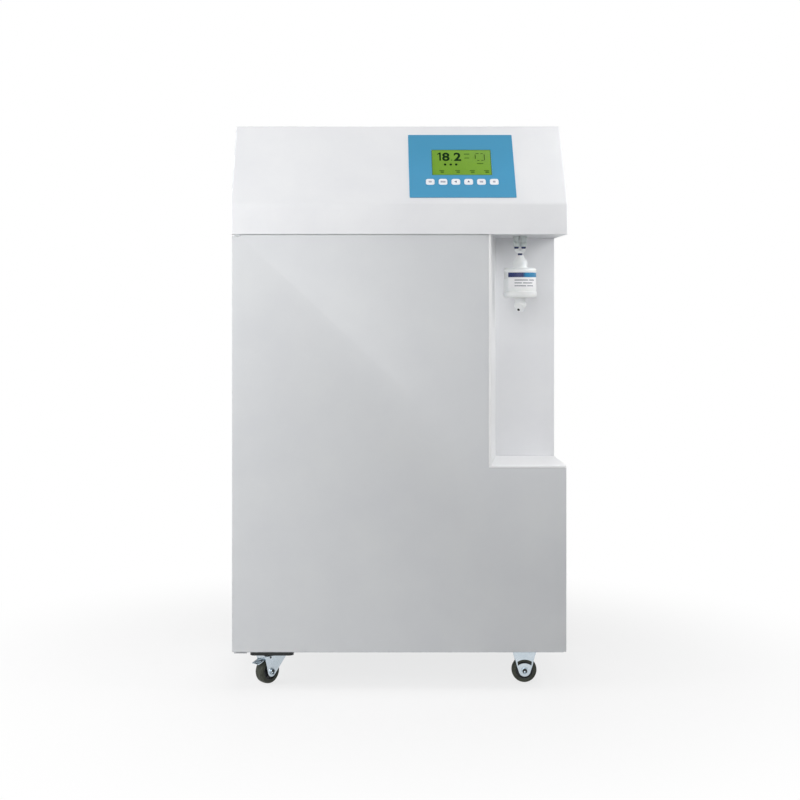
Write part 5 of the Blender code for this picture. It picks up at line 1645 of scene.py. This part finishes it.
@dataclass(frozen=True)
class SwivelCaster(Caster):
    """A caster that turns under a black mount, with a brake lever over its wheel."""

    trail: float = 0.0135
    top: float = 0.0571
    crown_half: float = 0.031
    apron: float = 0.0492
    mount_size: Triple = (0.084, 0.06, 0.0103)
    mount_top: float = 0.0677
    pin: Pair = (0.017, 0.0519)
    lever_length: float = 0.03
    lever_width: float = 0.019
    lever_slope: float = 20.0
    mount_sheet: float = 0.0025
    bolts: Pair = (0.033, 0.021)

    def mount_plate(self) -> None:
        """The pressed mount: a shallow black pan with the swivel's race inside it."""
        length, width, height = self.mount_size
        x, y = self.place
        top = self.mount_top
        at = Plane.PLAN.at(x, y, top - height)
        pan = slab("pan", rounded((0, 0), length, width, 0.009, 6), height, at)
        drop_faces(pan, lambda middle, normal: normal.z < -0.9)
        bevel(pan, 0.003, 4, lambda middle, line: abs(middle.z - top) < WELD)
        modify(pan, "SOLIDIFY", thickness=self.mount_sheet, offset=-1)
        ring = [
            (0.0052, 0.0008), (0.0085, 0.0002), (0.0155, 0.0002), (0.017, 0.0012), (0.017, 0.0079),
            (0.0052, 0.0079),
        ]
        pieces = [paint(pan, BLACK_COAT_AND_SHADE), paint(lathe("race", ring, at), ZINC)]
        for across, along in ((-1, -1), (-1, 1), (1, -1), (1, 1)):
            place = (x + across * self.bolts[0], y + along * self.bolts[1], top - 0.0026)
            pieces.append(screw(place, (0, 0, -1), 0.0042))
        assembled(f"caster_mount_{self.corner}", "pressed", pieces, "black_steel")

    def fork(self) -> None:
        """The fork, which turns on its kingpin. Its crown is folded down a little over the lever."""
        under = self.top - self.mount_sheet
        lip = [(0.0273, self.apron), (self.crown_half - 0.0025, under)]
        room = [(-0.06, -0.01), (0.06, -0.01), (0.06, self.apron), *lip, (-0.06, under)]
        fork = self.pressed([(-self.crown_half, self.top)], 0.004, room)
        kingpin = [(0, -0.001), (0.0048, -0.001), (0.0048, 0.0052), (0.0042, 0.0058), (0, 0.0058)]
        pin = paint(lathe("kingpin", kingpin, Plane.PLAN.at(*self.place, self.top)), ZINC)
        pieces = [paint(fork, ZINC), pin, *self.bosses()]
        assembled(f"caster_fork_{self.corner}", "pressed", pieces, "zinc", f"fork_{self.corner}")

    def lever(self) -> None:
        """The brake lever: a pressed tab with turned-down edges on a pin with black heads."""
        at, reach = self.view(*self.pin), self.reach
        slope = at @ spun(-self.lever_slope)
        length, near = self.lever_length, self.lever_length - 0.0015
        outline = [
            (0, -0.001), (near, -0.001), (length, -0.0004), (length, 0.0006), (near, 0.001), (0, 0.001),
        ]
        tab = slab("tab", outline, self.lever_width, slope @ moved(z=-self.lever_width / 2))
        pieces = [paint(bevel_all(tab, 0.0005), ZINC)]
        for along in (0.019, 0.022, 0.025):
            rib = block("rib", (along, 0.0008, -0.0075), (along + 0.001, 0.0014, 0.0075))
            pieces.append(paint(settle(rib, slope), ZINC))
        shaft = [(0, reach), (0.0015, reach), (0.0015, -reach), (0, -reach)]
        pieces.append(paint(lathe("shaft", shaft, at, 20), ZINC))
        head = [(0, reach + 0.001), (0.0016, reach + 0.0008), (0.0021, reach + 0.0002), (0, reach + 0.0001)]
        for hand in (1, -1):
            loop = [(radius, hand * out) for radius, out in head]
            pieces.append(paint(lathe("head", loop, at, 20), BLACK_COAT_AND_SHADE))
        assembled(f"brake_lever_{self.corner}", "pressed", pieces, "zinc", f"brake_{self.corner}")

    def build(self) -> None:
        """Builds the caster."""
        self.mount_plate()
        self.fork()
        self.wheel()
        self.axle(f"fork_{self.corner}")
        self.lever()


@dataclass(frozen=True)
class Cabinet(Sizes):
    """The cabinet's shell: the side panels, the base pan, the rear panel and the header over the door."""

    rear: float = 0.2172
    flange: float = 0.018
    flange_head: float = 0.862
    bend: float = 0.002
    pan_side: float = 0.3162
    pan_head: float = 0.093
    pan_notch: float = 0.283
    rear_head: float = 0.8677
    louvre_across: float = 0.15
    louvre_width: float = 0.12
    louvre_slot: float = 0.004
    louvre_pitch: float = 0.016
    louvre_rows: int = 9
    louvre_top: float = 0.7035
    port_opening: tuple[float, ...] = (-0.2, 0.1835, 0.1106, 0.0406)
    inlet_opening: tuple[float, ...] = (0.22, 0.1925, 0.0506, 0.0586)
    pan_slots: int = 11
    hood_reach: float = 0.0042
    rear_screws: tuple[float, ...] = (0.092, 0.345, 0.6, 0.854)
    buffer_low: Pair = (-0.2357, 0.8646)
    buffer_high: Pair = (-0.234, 0.8682)
    trim_low: Pair = (-0.2377, 0.4286)
    trim_high: Pair = (-0.2235, 0.8642)
    trim_width: float = 0.00035

    def screws(self, places: Iterable[Point], out: Point, radius: float) -> list[Object]:
        """One screw head, copied to every place.

        Args:
            places: Where the screws sit.
            out: The direction out of the surface.
            radius: The radius of the heads.

        Returns:
            The painted heads.
        """
        first, *others = map(Vector, places)
        head = screw(first, out, radius)
        return [head, *(copied(head, "screw", Matrix.Translation(place - first)) for place in others)]

    def side_panel(self, name: str, hand: int, outline: Outline) -> None:
        """A side panel with flanges turned inwards along its upright edges.

        Args:
            name: The node that it stands for.
            hand: 1 for the right side and -1 for the left.
            outline: Its (back, up) outline.
        """
        start = self.side - self.flange if hand > 0 else -self.side
        piece = slab("skin", outline, self.flange, Plane.SIDE.at(start))
        drop_faces(piece, lambda middle, normal: abs(normal.z) > 0.9 or normal.x * hand < -0.9)
        folded(piece, self.bend, self.sheet)
        room = self.side - self.bend
        cutter = block("room", (hand * room, 2 * self.front, self.flange_head), (0, 2 * self.back, self.top))
        drilled(piece, cutter)
        height = self.panel_bottom + 0.009
        places = [(hand * self.side, y, height) for y in (-0.165, 0.0, 0.165)]
        heads = self.screws(places, (hand, 0, 0), 0.0028)
        assembled(name, "folded", [paint(piece, WHITE_COAT), *heads], "white_enamel")

    def side_panels(self) -> None:
        """Both side panels. The right one is cut away round the niche."""
        front, rear, foot, head = self.panel_front, self.rear, self.panel_bottom, self.hood_foot
        self.side_panel("left_side_panel", -1, [(front, foot), (rear, foot), (rear, head), (front, head)])
        niche, shoulder = self.niche_back + 0.0021, self.niche_floor - self.sheet - self.gap
        notched = [
            (front, foot), (rear, foot), (rear, head), (niche, head), (niche, shoulder), (front, shoulder),
        ]
        self.side_panel("right_side_panel", 1, notched)

    def base_pan(self) -> None:
        """The pan under the cabinet, folded up all round, with notched corners and slots for air."""
        front, rear = self.panel_front, self.rear
        low, high = (-self.pan_side, front, self.pan_bottom), (self.pan_side, rear, self.pan_head)
        piece = block("base_pan.folded", low, high)
        drop_faces(piece, lambda middle, normal: normal.z > 0.9)
        folded(piece, self.bend, self.sheet)
        wall, over = self.sheet + self.gap, self.pan_bottom + self.bend + self.gap
        cutters = [
            block("notch", (hand * self.pan_notch, end, over), (hand * self.side, end + thick, self.top))
            for hand in (-1, 1)
            for end, thick in ((front, wall), (rear, -wall))
        ]
        slot = rounded((0, 0), 0.005, 0.06, 0.0025, 4)
        for step in range(self.pan_slots):
            at = Plane.PLAN.at((step - self.pan_slots // 2) * 0.015, 0.13, self.pan_bottom - self.bend)
            cutters.append(slab("slot", slot, 4 * self.bend, at))
        drilled(piece, gathered("cutters", cutters))
        dress(piece, GALVANISED, "base_pan")

    def louvres(self) -> list[Object]:
        """The pressed hoods over the slots of the rear panel, open downwards.

        Returns:
            The painted hoods.
        """
        reach, half = self.hood_reach, self.louvre_width / 2 + 0.002
        wedge = [(0, 0.006), (reach, -0.0012), (reach, -0.0034), (0, -0.0034)]
        at = Plane.SIDE.at(-self.louvre_across - half, self.back, self.louvre_top)
        hood = slab("louvre", wedge, 2 * half, at)
        drop_faces(hood, lambda middle, normal: normal.z < -0.9 or normal.y < -0.9)
        paint(folded(hood, 0.001, 0.0008), WHITE_COAT)
        moves = [
            moved(across, 0, -row * self.louvre_pitch)
            for across in (0, 2 * self.louvre_across)
            for row in range(self.louvre_rows)
        ]
        return [hood, *(copied(hood, "louvre", move) for move in moves[1:])]

    def rear_panel(self) -> None:
        """The rear panel, with openings for the services, louvres and screws round its edge."""
        side, foot, head = self.side, self.panel_bottom, self.rear_head
        outline = [(-side, foot), (side, foot), (side, head), (-side, head)]
        sheet = slab("sheet", outline, self.sheet, Plane.FRONT.at(y=self.back))
        openings = (self.port_opening, self.inlet_opening)
        loops = [rounded((x, z), width, height, 0.001, 2) for x, z, width, height in openings]
        for across in (-self.louvre_across, self.louvre_across):
            for row in range(self.louvre_rows):
                middle = (across, self.louvre_top - row * self.louvre_pitch)
                loops.append(rounded(middle, self.louvre_width, self.louvre_slot, 0.0015, 2))
        at = Plane.FRONT.at(y=self.back + self.sheet)
        drilled(sheet, gathered("cutters", [slab("cutter", loop, 3 * self.sheet, at) for loop in loops]))
        paint(bevel_all(sheet, 0.0003, 1), WHITE_COAT)
        places = [(x, self.back, z) for x in (-0.306, 0.306) for z in self.rear_screws]
        places += [(0, self.back, self.rear_screws[0]), (0, self.back, self.rear_screws[-1])]
        heads = self.screws(places, (0, 1, 0), 0.0036)
        assembled("rear_panel", "punched", [sheet, *self.louvres(), *heads], "white_enamel")

    def header(self) -> None:
        """What closes the gaps round the door, and the screws that hold the hood at the back."""
        front, head = self.panel_front - 0.0015, self.hood_foot - self.gap
        path = [(front + 0.026, head), (front, head), (front, head - 0.022)]
        start, end = -0.2885, self.niche_left - 0.002
        rail = bent("door_header", path, end - start, Plane.SIDE.at(start), self.bend, self.sheet)
        dress(rail, WHITE_COAT)
        left, right = 0.002 - self.side, self.niche_left - 0.001
        strip = block("door_buffer", (left, *self.buffer_low), (right, *self.buffer_high))
        dress(bevel_all(strip, 0.0004), WHITE_POLYPROPYLENE)
        low = (self.niche_left - self.trim_width, *self.trim_low)
        trim = block("door_edge_trim", low, (self.niche_left, *self.trim_high))
        dress(bevel_all(trim, 0.0001, 1), WHITE_POLYPROPYLENE)
        heads = self.screws([(x, self.back, 0.884) for x in (-0.28, 0.0, 0.28)], (0, 1, 0), 0.0036)
        mount(gathered("hood_screws", heads), "cabinet", "zinc")

    def catch(self) -> None:
        """The magnetic catch: a moulded holder, a ferrite block and two pole plates."""
        low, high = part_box("door_catch")
        holder = block("holder", (low[0], low[1] + 0.0015, low[2]), high)
        pieces = [paint(bevel_all(holder, 0.0008), BLACK_NYLON_AND_SHADE)]
        middle = (low[0] + high[0]) / 2
        bars = ((0, 0.0018, 0.0004, FERRITE), (-0.0028, 0.0006, 0, ZINC), (0.0028, 0.0006, 0, ZINC))
        for across, half, front, finish in bars:
            x = middle + across
            start = (x - half, low[1] + front, low[2] + 0.005)
            end = (x + half, high[1] - 0.002, high[2] - 0.005)
            pieces.append(paint(bevel_all(block("bar", start, end), 0.0002, 1), finish))
        assembled("door_catch", "moulded", pieces, "magnet")

    def build(self) -> None:
        """Builds the shell."""
        self.side_panels()
        self.base_pan()
        self.rear_panel()
        self.header()
        for node in ("hinge_bracket_lower", "hinge_bracket_upper"):
            refinish(node, SILVER_COAT)
        self.catch()


@dataclass(frozen=True)
class RearServices(Sizes):
    """What the rear panel carries: the block of hose ports, the mains inlet and the rocker switch."""

    port_places: tuple[float, ...] = (-0.234, -0.2, -0.166)
    port_middle: Pair = (-0.2, 0.1835)
    port_size: Pair = (0.11, 0.04)
    inlet_middle: Pair = (0.22, 0.1925)
    inlet_size: Pair = (0.05, 0.058)
    lip: float = 0.004
    switch_height: float = 0.2085
    switch_lean: float = 7.0
    contact_pitch: float = 0.007

    def housing(
        self, middle: Point, size: Sequence[float], back: float, front: float, face: float
    ) -> Object:
        """A moulded body behind a wider flange.

        Args:
            middle: Its middle, across and up.
            size: The body's width and height.
            back: Where the body ends inside the cabinet.
            front: Where the body ends outside.
            face: Where the flange's face is.

        Returns:
            The body and its flange as one solid.
        """
        body = slab("body", rounded(middle, *size, 0.002, 3), front - back, Plane.FRONT.at(y=front))
        wide = [length + 2 * self.lip for length in size]
        thick = face - self.back - self.gap
        flange = slab("flange", rounded(middle, *wide, self.lip, 5), thick, Plane.FRONT.at(y=face))
        return fused(body, bevel_all(flange, 0.0006))

    def ports(self) -> None:
        """Three ribbed hose ports, each with a collar of its own colour."""
        body = self.housing(self.port_middle, self.port_size, 0.201, 0.221, 0.223)
        pieces = [paint(body, BLACK_NYLON_AND_SHADE)]
        spout = [(0.003, 0.019), (0.0044, 0.019), (0.005, 0.0182)]
        for foot in (0.015, 0.0118, 0.0086):
            spout += [(0.0064, foot), (0.005, foot - 0.0003)]
        spout += [(0.005, 0.0), (0.003, 0.0)]
        collar = [(0.0048, 0.0052), (0.0074, 0.0048), (0.008, 0.004), (0.008, 0.0004), (0.0048, 0.0004)]
        for x, finish in zip(self.port_places, (COLLET_BLUE, ACETAL_GREY, WHITE_POLYPROPYLENE)):
            at = moved(x, self.back + 0.003, self.port_middle[1]) @ spun(-90, "X")
            pieces.append(paint(lathe("spout", spout, at, 32), BLACK_NYLON_AND_SHADE))
            pieces.append(paint(lathe("collar", collar, at, 32), finish))
        assembled("rear_port_block", "moulded", pieces, "black_plastic")

    def inlet(self) -> None:
        """The mains inlet: a shaped socket with three pins, and the well of the switch over it."""
        body = self.housing(self.inlet_middle, self.inlet_size, 0.189, 0.2205, 0.222)
        outside = Plane.FRONT.at(y=0.224)
        across, foot, shoulder, head = 0.012, 0.172, 0.185, 0.189
        x = self.inlet_middle[0]
        shape = [
            (x - across, foot), (x + across, foot), (x + across, shoulder), (x + 0.008, head),
            (x - 0.008, head), (x - across, shoulder),
        ]
        socket = slab("socket", shape, 0.018, outside)
        well = slab("well", rounded((x, self.switch_height), 0.0206, 0.0182, 0.001, 2), 0.0136, outside)
        pieces = [paint(drilled(body, socket, well), BLACK_NYLON_AND_SHADE)]
        for step, z in ((-1, 0.1785), (0, 0.183), (1, 0.1785)):
            middle = x + step * self.contact_pitch
            pin = block("pin", (middle - 0.001, 0.2055, z - 0.002), (middle + 0.001, 0.218, z + 0.002))
            pieces.append(paint(bevel_all(pin, 0.0004), NICKEL))
        assembled("mains_inlet", "moulded", pieces, "black_plastic")

    def switch(self) -> None:
        """The rocker with its hollow face, a bar for on and a ring for off."""
        at = moved(self.inlet_middle[0], 0.222, self.switch_height) @ spun(self.switch_lean, "X")
        half = 0.0075
        face = [(0.0013 + 0.0012 * (step / 6) ** 2, half * step / 6) for step in range(6, -7, -1)]
        rocker = slab("rocker", [(-0.01, -half), (-0.01, half), *face], 0.02, at @ Plane.SIDE.at(-0.01))
        on_mark, off_mark = Plane.FRONT.at(y=0.002), moved(0, 0.0012, -0.0042) @ spun(-90, "X")
        bar = slab("on", rounded((0, 0.0042), 0.0009, 0.0034, 0.0004, 2), 0.0008, at @ on_mark)
        ring = lathe("off", [(0.0012, 0.0008), (0.0018, 0.0008), (0.0018, 0), (0.0012, 0)], at @ off_mark, 24)
        pieces = [paint(bevel_all(rocker, 0.0004), BLACK_NYLON_AND_SHADE)]
        pieces += [paint(mark, INK_WHITE) for mark in (bar, ring)]
        assembled("power_switch", "moulded", pieces, "black_plastic", "switch_rocker")

    def build(self) -> None:
        """Builds the services."""
        self.ports()
        self.inlet()
        self.switch()


@dataclass(frozen=True)
class TreatmentTrain(Sizes):
    """What cleans the water inside: prefilters, pump, membrane vessel, resin column, and the power supply."""

    plate: float = 0.0587
    sump_places: Pair = (-0.228, -0.116)
    sump_back: float = 0.0127
    sump_head: float = 0.4697
    sump_radius: float = 0.046
    manifold_low: Triple = (-0.28, -0.0393, 0.47)
    manifold_high: Triple = (-0.064, 0.0587, 0.52)
    port: float = 0.0075
    port_length: float = 0.015
    vessel_foot: float = 0.2
    vessel_head: float = 0.66
    vessel_cap: float = 0.03
    pump_axis: Pair = (-0.075, 0.1188)
    pump_head: Pair = (-0.08, -0.022)
    pump_half: float = 0.037
    motor_length: float = 0.11
    manifold_screws: tuple[float, ...] = (-0.262, -0.172, -0.082)
    pump_foot: float = 0.0699

    def stub(self, at: Matrix) -> Object:
        """A tube port with a rounded rim.

        Args:
            at: Its place. It points along its own Z axis.

        Returns:
            The painted port.
        """
        length, radius, foot = self.port_length, self.port, self.port + 0.003
        profile = [
            (0, length), (radius - 0.0008, length), (radius, length - 0.0008), (radius, 0.004), (foot, 0.002),
            (foot, -0.001), (0, -0.001),
        ]
        return paint(lathe("stub", profile, at, 32), ACETAL_GREY)

    def sumps(self) -> None:
        """The two prefilter bowls, each with a ribbed collar and a wrench foot."""
        radius, thin = self.sump_radius, self.sump_radius - 0.006
        profile = [
            (0, 0), (radius - 0.002, 0), (radius - 0.001, -0.001), (radius - 0.001, -0.027),
            (radius - 0.003, -0.03), (thin, -0.033), (thin, -0.06), (thin - 0.001, -0.062),
            (thin - 0.001, -0.15), (thin - 0.002, -0.228), (thin - 0.001, -0.23), (thin - 0.001, -0.246),
            (thin - 0.004, -0.252), (thin - 0.01, -0.255), (0, -0.255),
        ]
        x, other = self.sump_places
        bowl = lathe("bowl", profile, Plane.PLAN.at(x, self.sump_back, self.sump_head), 64)
        foot = Vector((x + radius - 0.001, self.sump_back, self.sump_head - 0.026))
        rib = paint(rod("rib", foot, foot + Vector((0, 0, 0.024)), 0.001, 10), WHITE_POLYPROPYLENE)
        middle = moved(x, self.sump_back, 0)
        turns = [middle @ spun(15 * step) @ middle.inverted() for step in range(1, 24)]
        ribs = [copied(rib, "rib", turn) for turn in turns]
        twins(gathered("sump", [paint(bowl, WHITE_POLYPROPYLENE), *ribs, rib]), "prefilter_sump", other - x)

    def manifold(self) -> None:
        """The manifold over the bowls, with a boss and a port over each."""
        head = bevel_all(block("head", self.manifold_low, self.manifold_high), 0.004, 3)
        top = self.manifold_high[2]
        boss = [(0, 0.004), (0.016, 0.004), (0.018, 0), (0.018, -0.004), (0, -0.004)]
        places = [Plane.PLAN.at(x, self.sump_back, top) for x in self.sump_places]
        parts = [lathe("boss", boss, place, 48) for place in places]
        pieces = [paint(fused(head, *parts), BLUE_POLYPROPYLENE), *map(self.stub, places)]
        for x in self.manifold_screws:
            pieces.append(screw((x, self.plate - 0.012, top), (0, 0, 1), 0.005))
        assembled("prefilter_manifold", "moulded", pieces, "blue_plastic")

    def vessel(self, node: str, x: float, radius: float, shell: Finish, caps: Finish) -> None:
        """An upright vessel: grooved caps, a plain labelled shell and a port at each end.

        Args:
            node: The node that it stands for.
            x: Where it stands.
            radius: The radius of its caps.
            shell: The finish of its shell.
            caps: The finish of its caps.
        """
        y, thin, cap = self.plate - radius, radius - 0.003, self.vessel_cap
        low, high = self.vessel_foot, self.vessel_head
        tube = [(0, high - 0.002), (thin, high - 0.002), (thin, low + 0.002), (0, low + 0.002)]
        pieces = [paint(lathe("shell", tube, Plane.PLAN.at(x, y), 72), shell)]
        lid = [(0, 0), (radius - 0.002, 0), (radius, -0.002)]
        for deep in (0.007, 0.013, 0.019):
            groove = ((0, 0), (0.001, 0.0008), (0.001, 0.0022), (0, 0.003))
            lid += [(radius - inward, -deep - down) for inward, down in groove]
        lid += [(radius, 0.001 - cap), (radius - 0.001, -cap), (0, -cap)]
        for end, turn in ((high, 0), (low, 180)):
            at = Plane.PLAN.at(x, y, end) @ spun(turn, "X")
            pieces += [paint(lathe("cap", lid, at, 72), caps), self.stub(at)]
        prints = ((0.0002, 0.0004, 0.38, 0.12, LABEL), (0.0003, 0, 0.476, 0.018, INK_NAVY))
        for out, into, foot, height, finish in prints:
            front, back = (arc((0, 0), thin + away, 200, 340, 28) for away in (out, -into))
            patch = slab("patch", [*front, *reversed(back)], height, Plane.PLAN.at(x, y, foot))
            pieces.append(paint(patch, finish))
        assembled(node, "moulded", pieces, shell.slot)

    def pump(self) -> None:
        """The booster pump: a bolted head, a finned motor and a foot."""
        y, z = self.pump_axis
        left, right = self.pump_head
        half, proud = self.pump_half, self.pump_half + 0.0008
        head = block("head", (left, y - half, z - half), (right, y + half, z + half))
        face = block("face", (right - 0.012, y - proud, z - proud), (right - 0.004, y + proud, z + proud))
        foot = block("foot", (left - 0.055, y - half / 2, self.pump_foot), (right, y + half / 2, z))
        body = fused(bevel_all(head, 0.004, 3), bevel_all(face, 0.003), bevel_all(foot, 0.002))
        length, fin = self.motor_length, half + 0.001
        shoulder, root = fin - 0.002, fin - 0.003
        profile = [(0, length), (fin - 0.008, length), (shoulder, length - 0.003), (shoulder, length - 0.014)]
        for step in range(11):
            end = length - 0.016 - 0.008 * step
            profile += [(fin, end), (fin, end - 0.003), (root, end - 0.004), (root, end - 0.007)]
        profile += [(half, 0.002), (half, -0.002), (0, -0.002)]
        motor = lathe("motor", profile, moved(left, y, z) @ spun(-90, "Y"), 64)
        pieces = [
            paint(body, BLACK_NYLON_AND_SHADE),
            paint(motor, BLACK_COAT_AND_SHADE),
            self.stub(Plane.PLAN.at((left + right) / 2, y, z + half)),
            self.stub(moved(right, y, z) @ spun(90, "Y")),
        ]
        bolt = half - 0.009
        for across, up in ((-1, -1), (-1, 1), (1, -1), (1, 1)):
            pieces.append(screw((right, y + across * bolt, z + up * bolt), (1, 0, 0), 0.0035))
        assembled("booster_pump", "moulded", pieces, "black_plastic")

    def power_supply(self) -> None:
        """The power supply: a folded case with slots for air, a terminal strip and cover screws."""
        low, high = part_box("power_supply")
        case = bevel_all(block("case", low, high), 0.0015)
        at, loop = Plane.FRONT.at(y=low[1] + 0.003), rounded((low[0] + 0.02, 0.69), 0.003, 0.06, 0.0014, 3)
        first = slab("slot", loop, 0.006, at)
        slots = [copied(first, "slot", moved(0.009 * step)) for step in range(1, 18)]
        start = (low[0] + 0.03, low[1] - 0.006, low[2] + 0.004)
        strip = block("strip", start, (high[0] - 0.03, low[1] + 0.001, low[2] + 0.02))
        head = screw((low[0] + 0.04, low[1] - 0.006, low[2] + 0.012), (0, -1, 0), 0.003)
        pieces = [
            paint(drilled(case, gathered("slots", [first, *slots])), CASE_ALUMINIUM),
            paint(bevel_all(strip, 0.001), BLACK_NYLON_AND_SHADE),
            head,
            *(copied(head, "screw", moved(0.015 * step)) for step in range(1, 9)),
        ]
        assembled("power_supply", "folded", pieces, "supply_case")

    def build(self) -> None:
        """Builds the train, and finishes the plate, the board and the tubes that keep their shapes."""
        self.sumps()
        self.manifold()
        self.vessel("ro_vessel", 0.03, 0.04, WHITE_POLYPROPYLENE, ACETAL_GREY)
        self.vessel("di_column", 0.126, 0.044, BLUE_POLYPROPYLENE, WHITE_POLYPROPYLENE)
        self.pump()
        self.power_supply()
        refinish("mounting_plate", GALVANISED)
        refinish("control_board", BOARD)
        for name in ("feed", "suction", "pressure", "permeate", "product"):
            refinish(f"{name}_tube", TUBE_WHITE)


@dataclass(frozen=True)
class Studio:
    """A plain pale floor, soft lamps round the object, and the camera.

    Each lamp has a name, a place, a size and a power in watts, and points at the aim. Round the object's
    middle, the floor fades from its own shade to plain white between two distances.
    """

    eye: Triple = (-0.073, -3.061, 0.739)
    lens: float = 66.8
    shift: Pair = (0.049, -0.1225)
    aim: Triple = (0.0, -0.2, 0.65)
    lamps: tuple[tuple[str, Triple, float, float], ...] = (
        ("front_lamp", (0.3, -3.2, 1.5), 1.5, 9.8),
        ("front_left_lamp", (-0.7, -3.0, 1.6), 1.5, 16.8),
        ("near_left_lamp", (-0.55, -1.2, 1.45), 0.7, 2.1),
        ("top_lamp", (0.0, -0.3, 2.4), 1.5, 8.2),
        ("left_lamp", (-1.5, -0.6, 1.0), 1.0, 15.3),
        ("right_lamp", (0.95, -0.33, 1.15), 0.5, 4.9),
        ("rear_lamp", (0.0, 2.8, 2.6), 1.2, 15.0),
    )
    ambient: float = 0.01
    floor_size: float = 40.0
    glow: float = 0.75
    fade: Pair = (0.35, 1.1)

    def lights(self) -> None:
        """The square area lamps, each turned to the object."""
        for name, place, size, power in self.lamps:
            lamp = added(name, bpy.ops.object.light_add, type="AREA", location=place)
            lamp.data.size, lamp.data.energy = size, power
            lamp.rotation_euler = (Vector(self.aim) - Vector(place)).to_track_quat("-Z", "Y").to_euler()

    def camera(self) -> None:
        """The camera, level and square to the front, with its frame shifted as in the photograph."""
        add = bpy.ops.object.camera_add
        camera = added("camera", add, location=self.eye, rotation=(math.pi / 2, 0, 0))
        camera.data.lens = self.lens
        camera.data.shift_x, camera.data.shift_y = self.shift
        camera.data.clip_end = 100
        bpy.context.scene.camera = camera

    def seen(self, tree: NodeTree) -> NodeSocket:
        """The rays that show the background.

        Args:
            tree: The material's or the world's node tree.

        Returns:
            1 where the camera, a reflection or a refraction looks, and 0 elsewhere.
        """
        path = add_node(tree, "ShaderNodeLightPath").outputs
        rays = path["Is Camera Ray"]
        for name in ("Is Glossy Ray", "Is Transmission Ray"):
            rays = add_node(tree, "ShaderNodeMath", {0: rays, 1: path[name]}, operation="MAXIMUM").outputs[0]
        return rays

    def world(self) -> None:
        """An even grey light round the object, seen as white."""
        world = bpy.data.worlds.new("studio")
        bpy.context.scene.world = world
        world.use_nodes = True
        tree = world.node_tree
        inputs = {"Value": self.seen(tree), "To Min": self.ambient, "To Max": 1.0}
        strength = add_node(tree, "ShaderNodeMapRange", inputs).outputs["Result"]
        feed(tree.nodes["Background"], {"Color": (1, 1, 1, 1), "Strength": strength})

    def floor(self) -> None:
        """A pale floor that runs into the white background away from the object."""
        floor = added("studio_floor", bpy.ops.mesh.primitive_plane_add, size=self.floor_size)
        made = bpy.data.materials.new("painted_floor")
        made.use_nodes = True
        tree = made.node_tree
        coat = tree.nodes["Principled BSDF"]
        feed(coat, {"Base Color": linear("F3F3F3"), "Roughness": 0.7})
        place = add_node(tree, "ShaderNodeTexCoord").outputs["Object"]
        reach = add_node(tree, "ShaderNodeVectorMath", {0: place}, operation="LENGTH").outputs["Value"]
        near, far = self.fade
        inputs = {"Value": reach, "From Min": near, "From Max": far, "To Min": self.glow, "To Max": 1.0}
        away = add_node(tree, "ShaderNodeMapRange", inputs, interpolation_type="SMOOTHSTEP").outputs["Result"]
        both = {0: away, 1: self.seen(tree)}
        share = add_node(tree, "ShaderNodeMath", both, operation="MULTIPLY").outputs[0]
        glow = add_node(tree, "ShaderNodeEmission", {"Strength": 1.0})
        parts = {0: share, 1: coat.outputs["BSDF"], 2: glow.outputs["Emission"]}
        mixed = add_node(tree, "ShaderNodeMixShader", parts)
        feed(tree.nodes["Material Output"], {"Surface": mixed.outputs[0]})
        floor.data.materials.append(made)

    def build(self) -> None:
        """Sets up the studio."""
        bpy.context.scene.view_settings.view_transform = "Standard"
        self.camera()
        self.world()
        self.floor()
        self.lights()


def main() -> None:
    """Builds the studio and every sub-assembly in order."""
    logging.basicConfig(level=logging.INFO, format="%(message)s")
    casters = (
        SwivelCaster(corner="front_left", place=(-0.2447, -0.17), turn=225),
        SwivelCaster(corner="rear_left", place=(-0.2447, 0.148), turn=180),
        RigidCaster(corner="front_right", place=(0.2447, -0.17)),
        RigidCaster(corner="rear_right", place=(0.2447, 0.148)),
    )
    front = (Hood(), ControlPanel(), FrontDoor(), DispensingNiche(), FilterAssembly())
    for part in (Studio(), *front, *casters, Cabinet(), RearServices(), TreatmentTrain()):
        log.info("building %s", type(part).__name__)
        part.build()


if __name__ == "__main__":
    main()
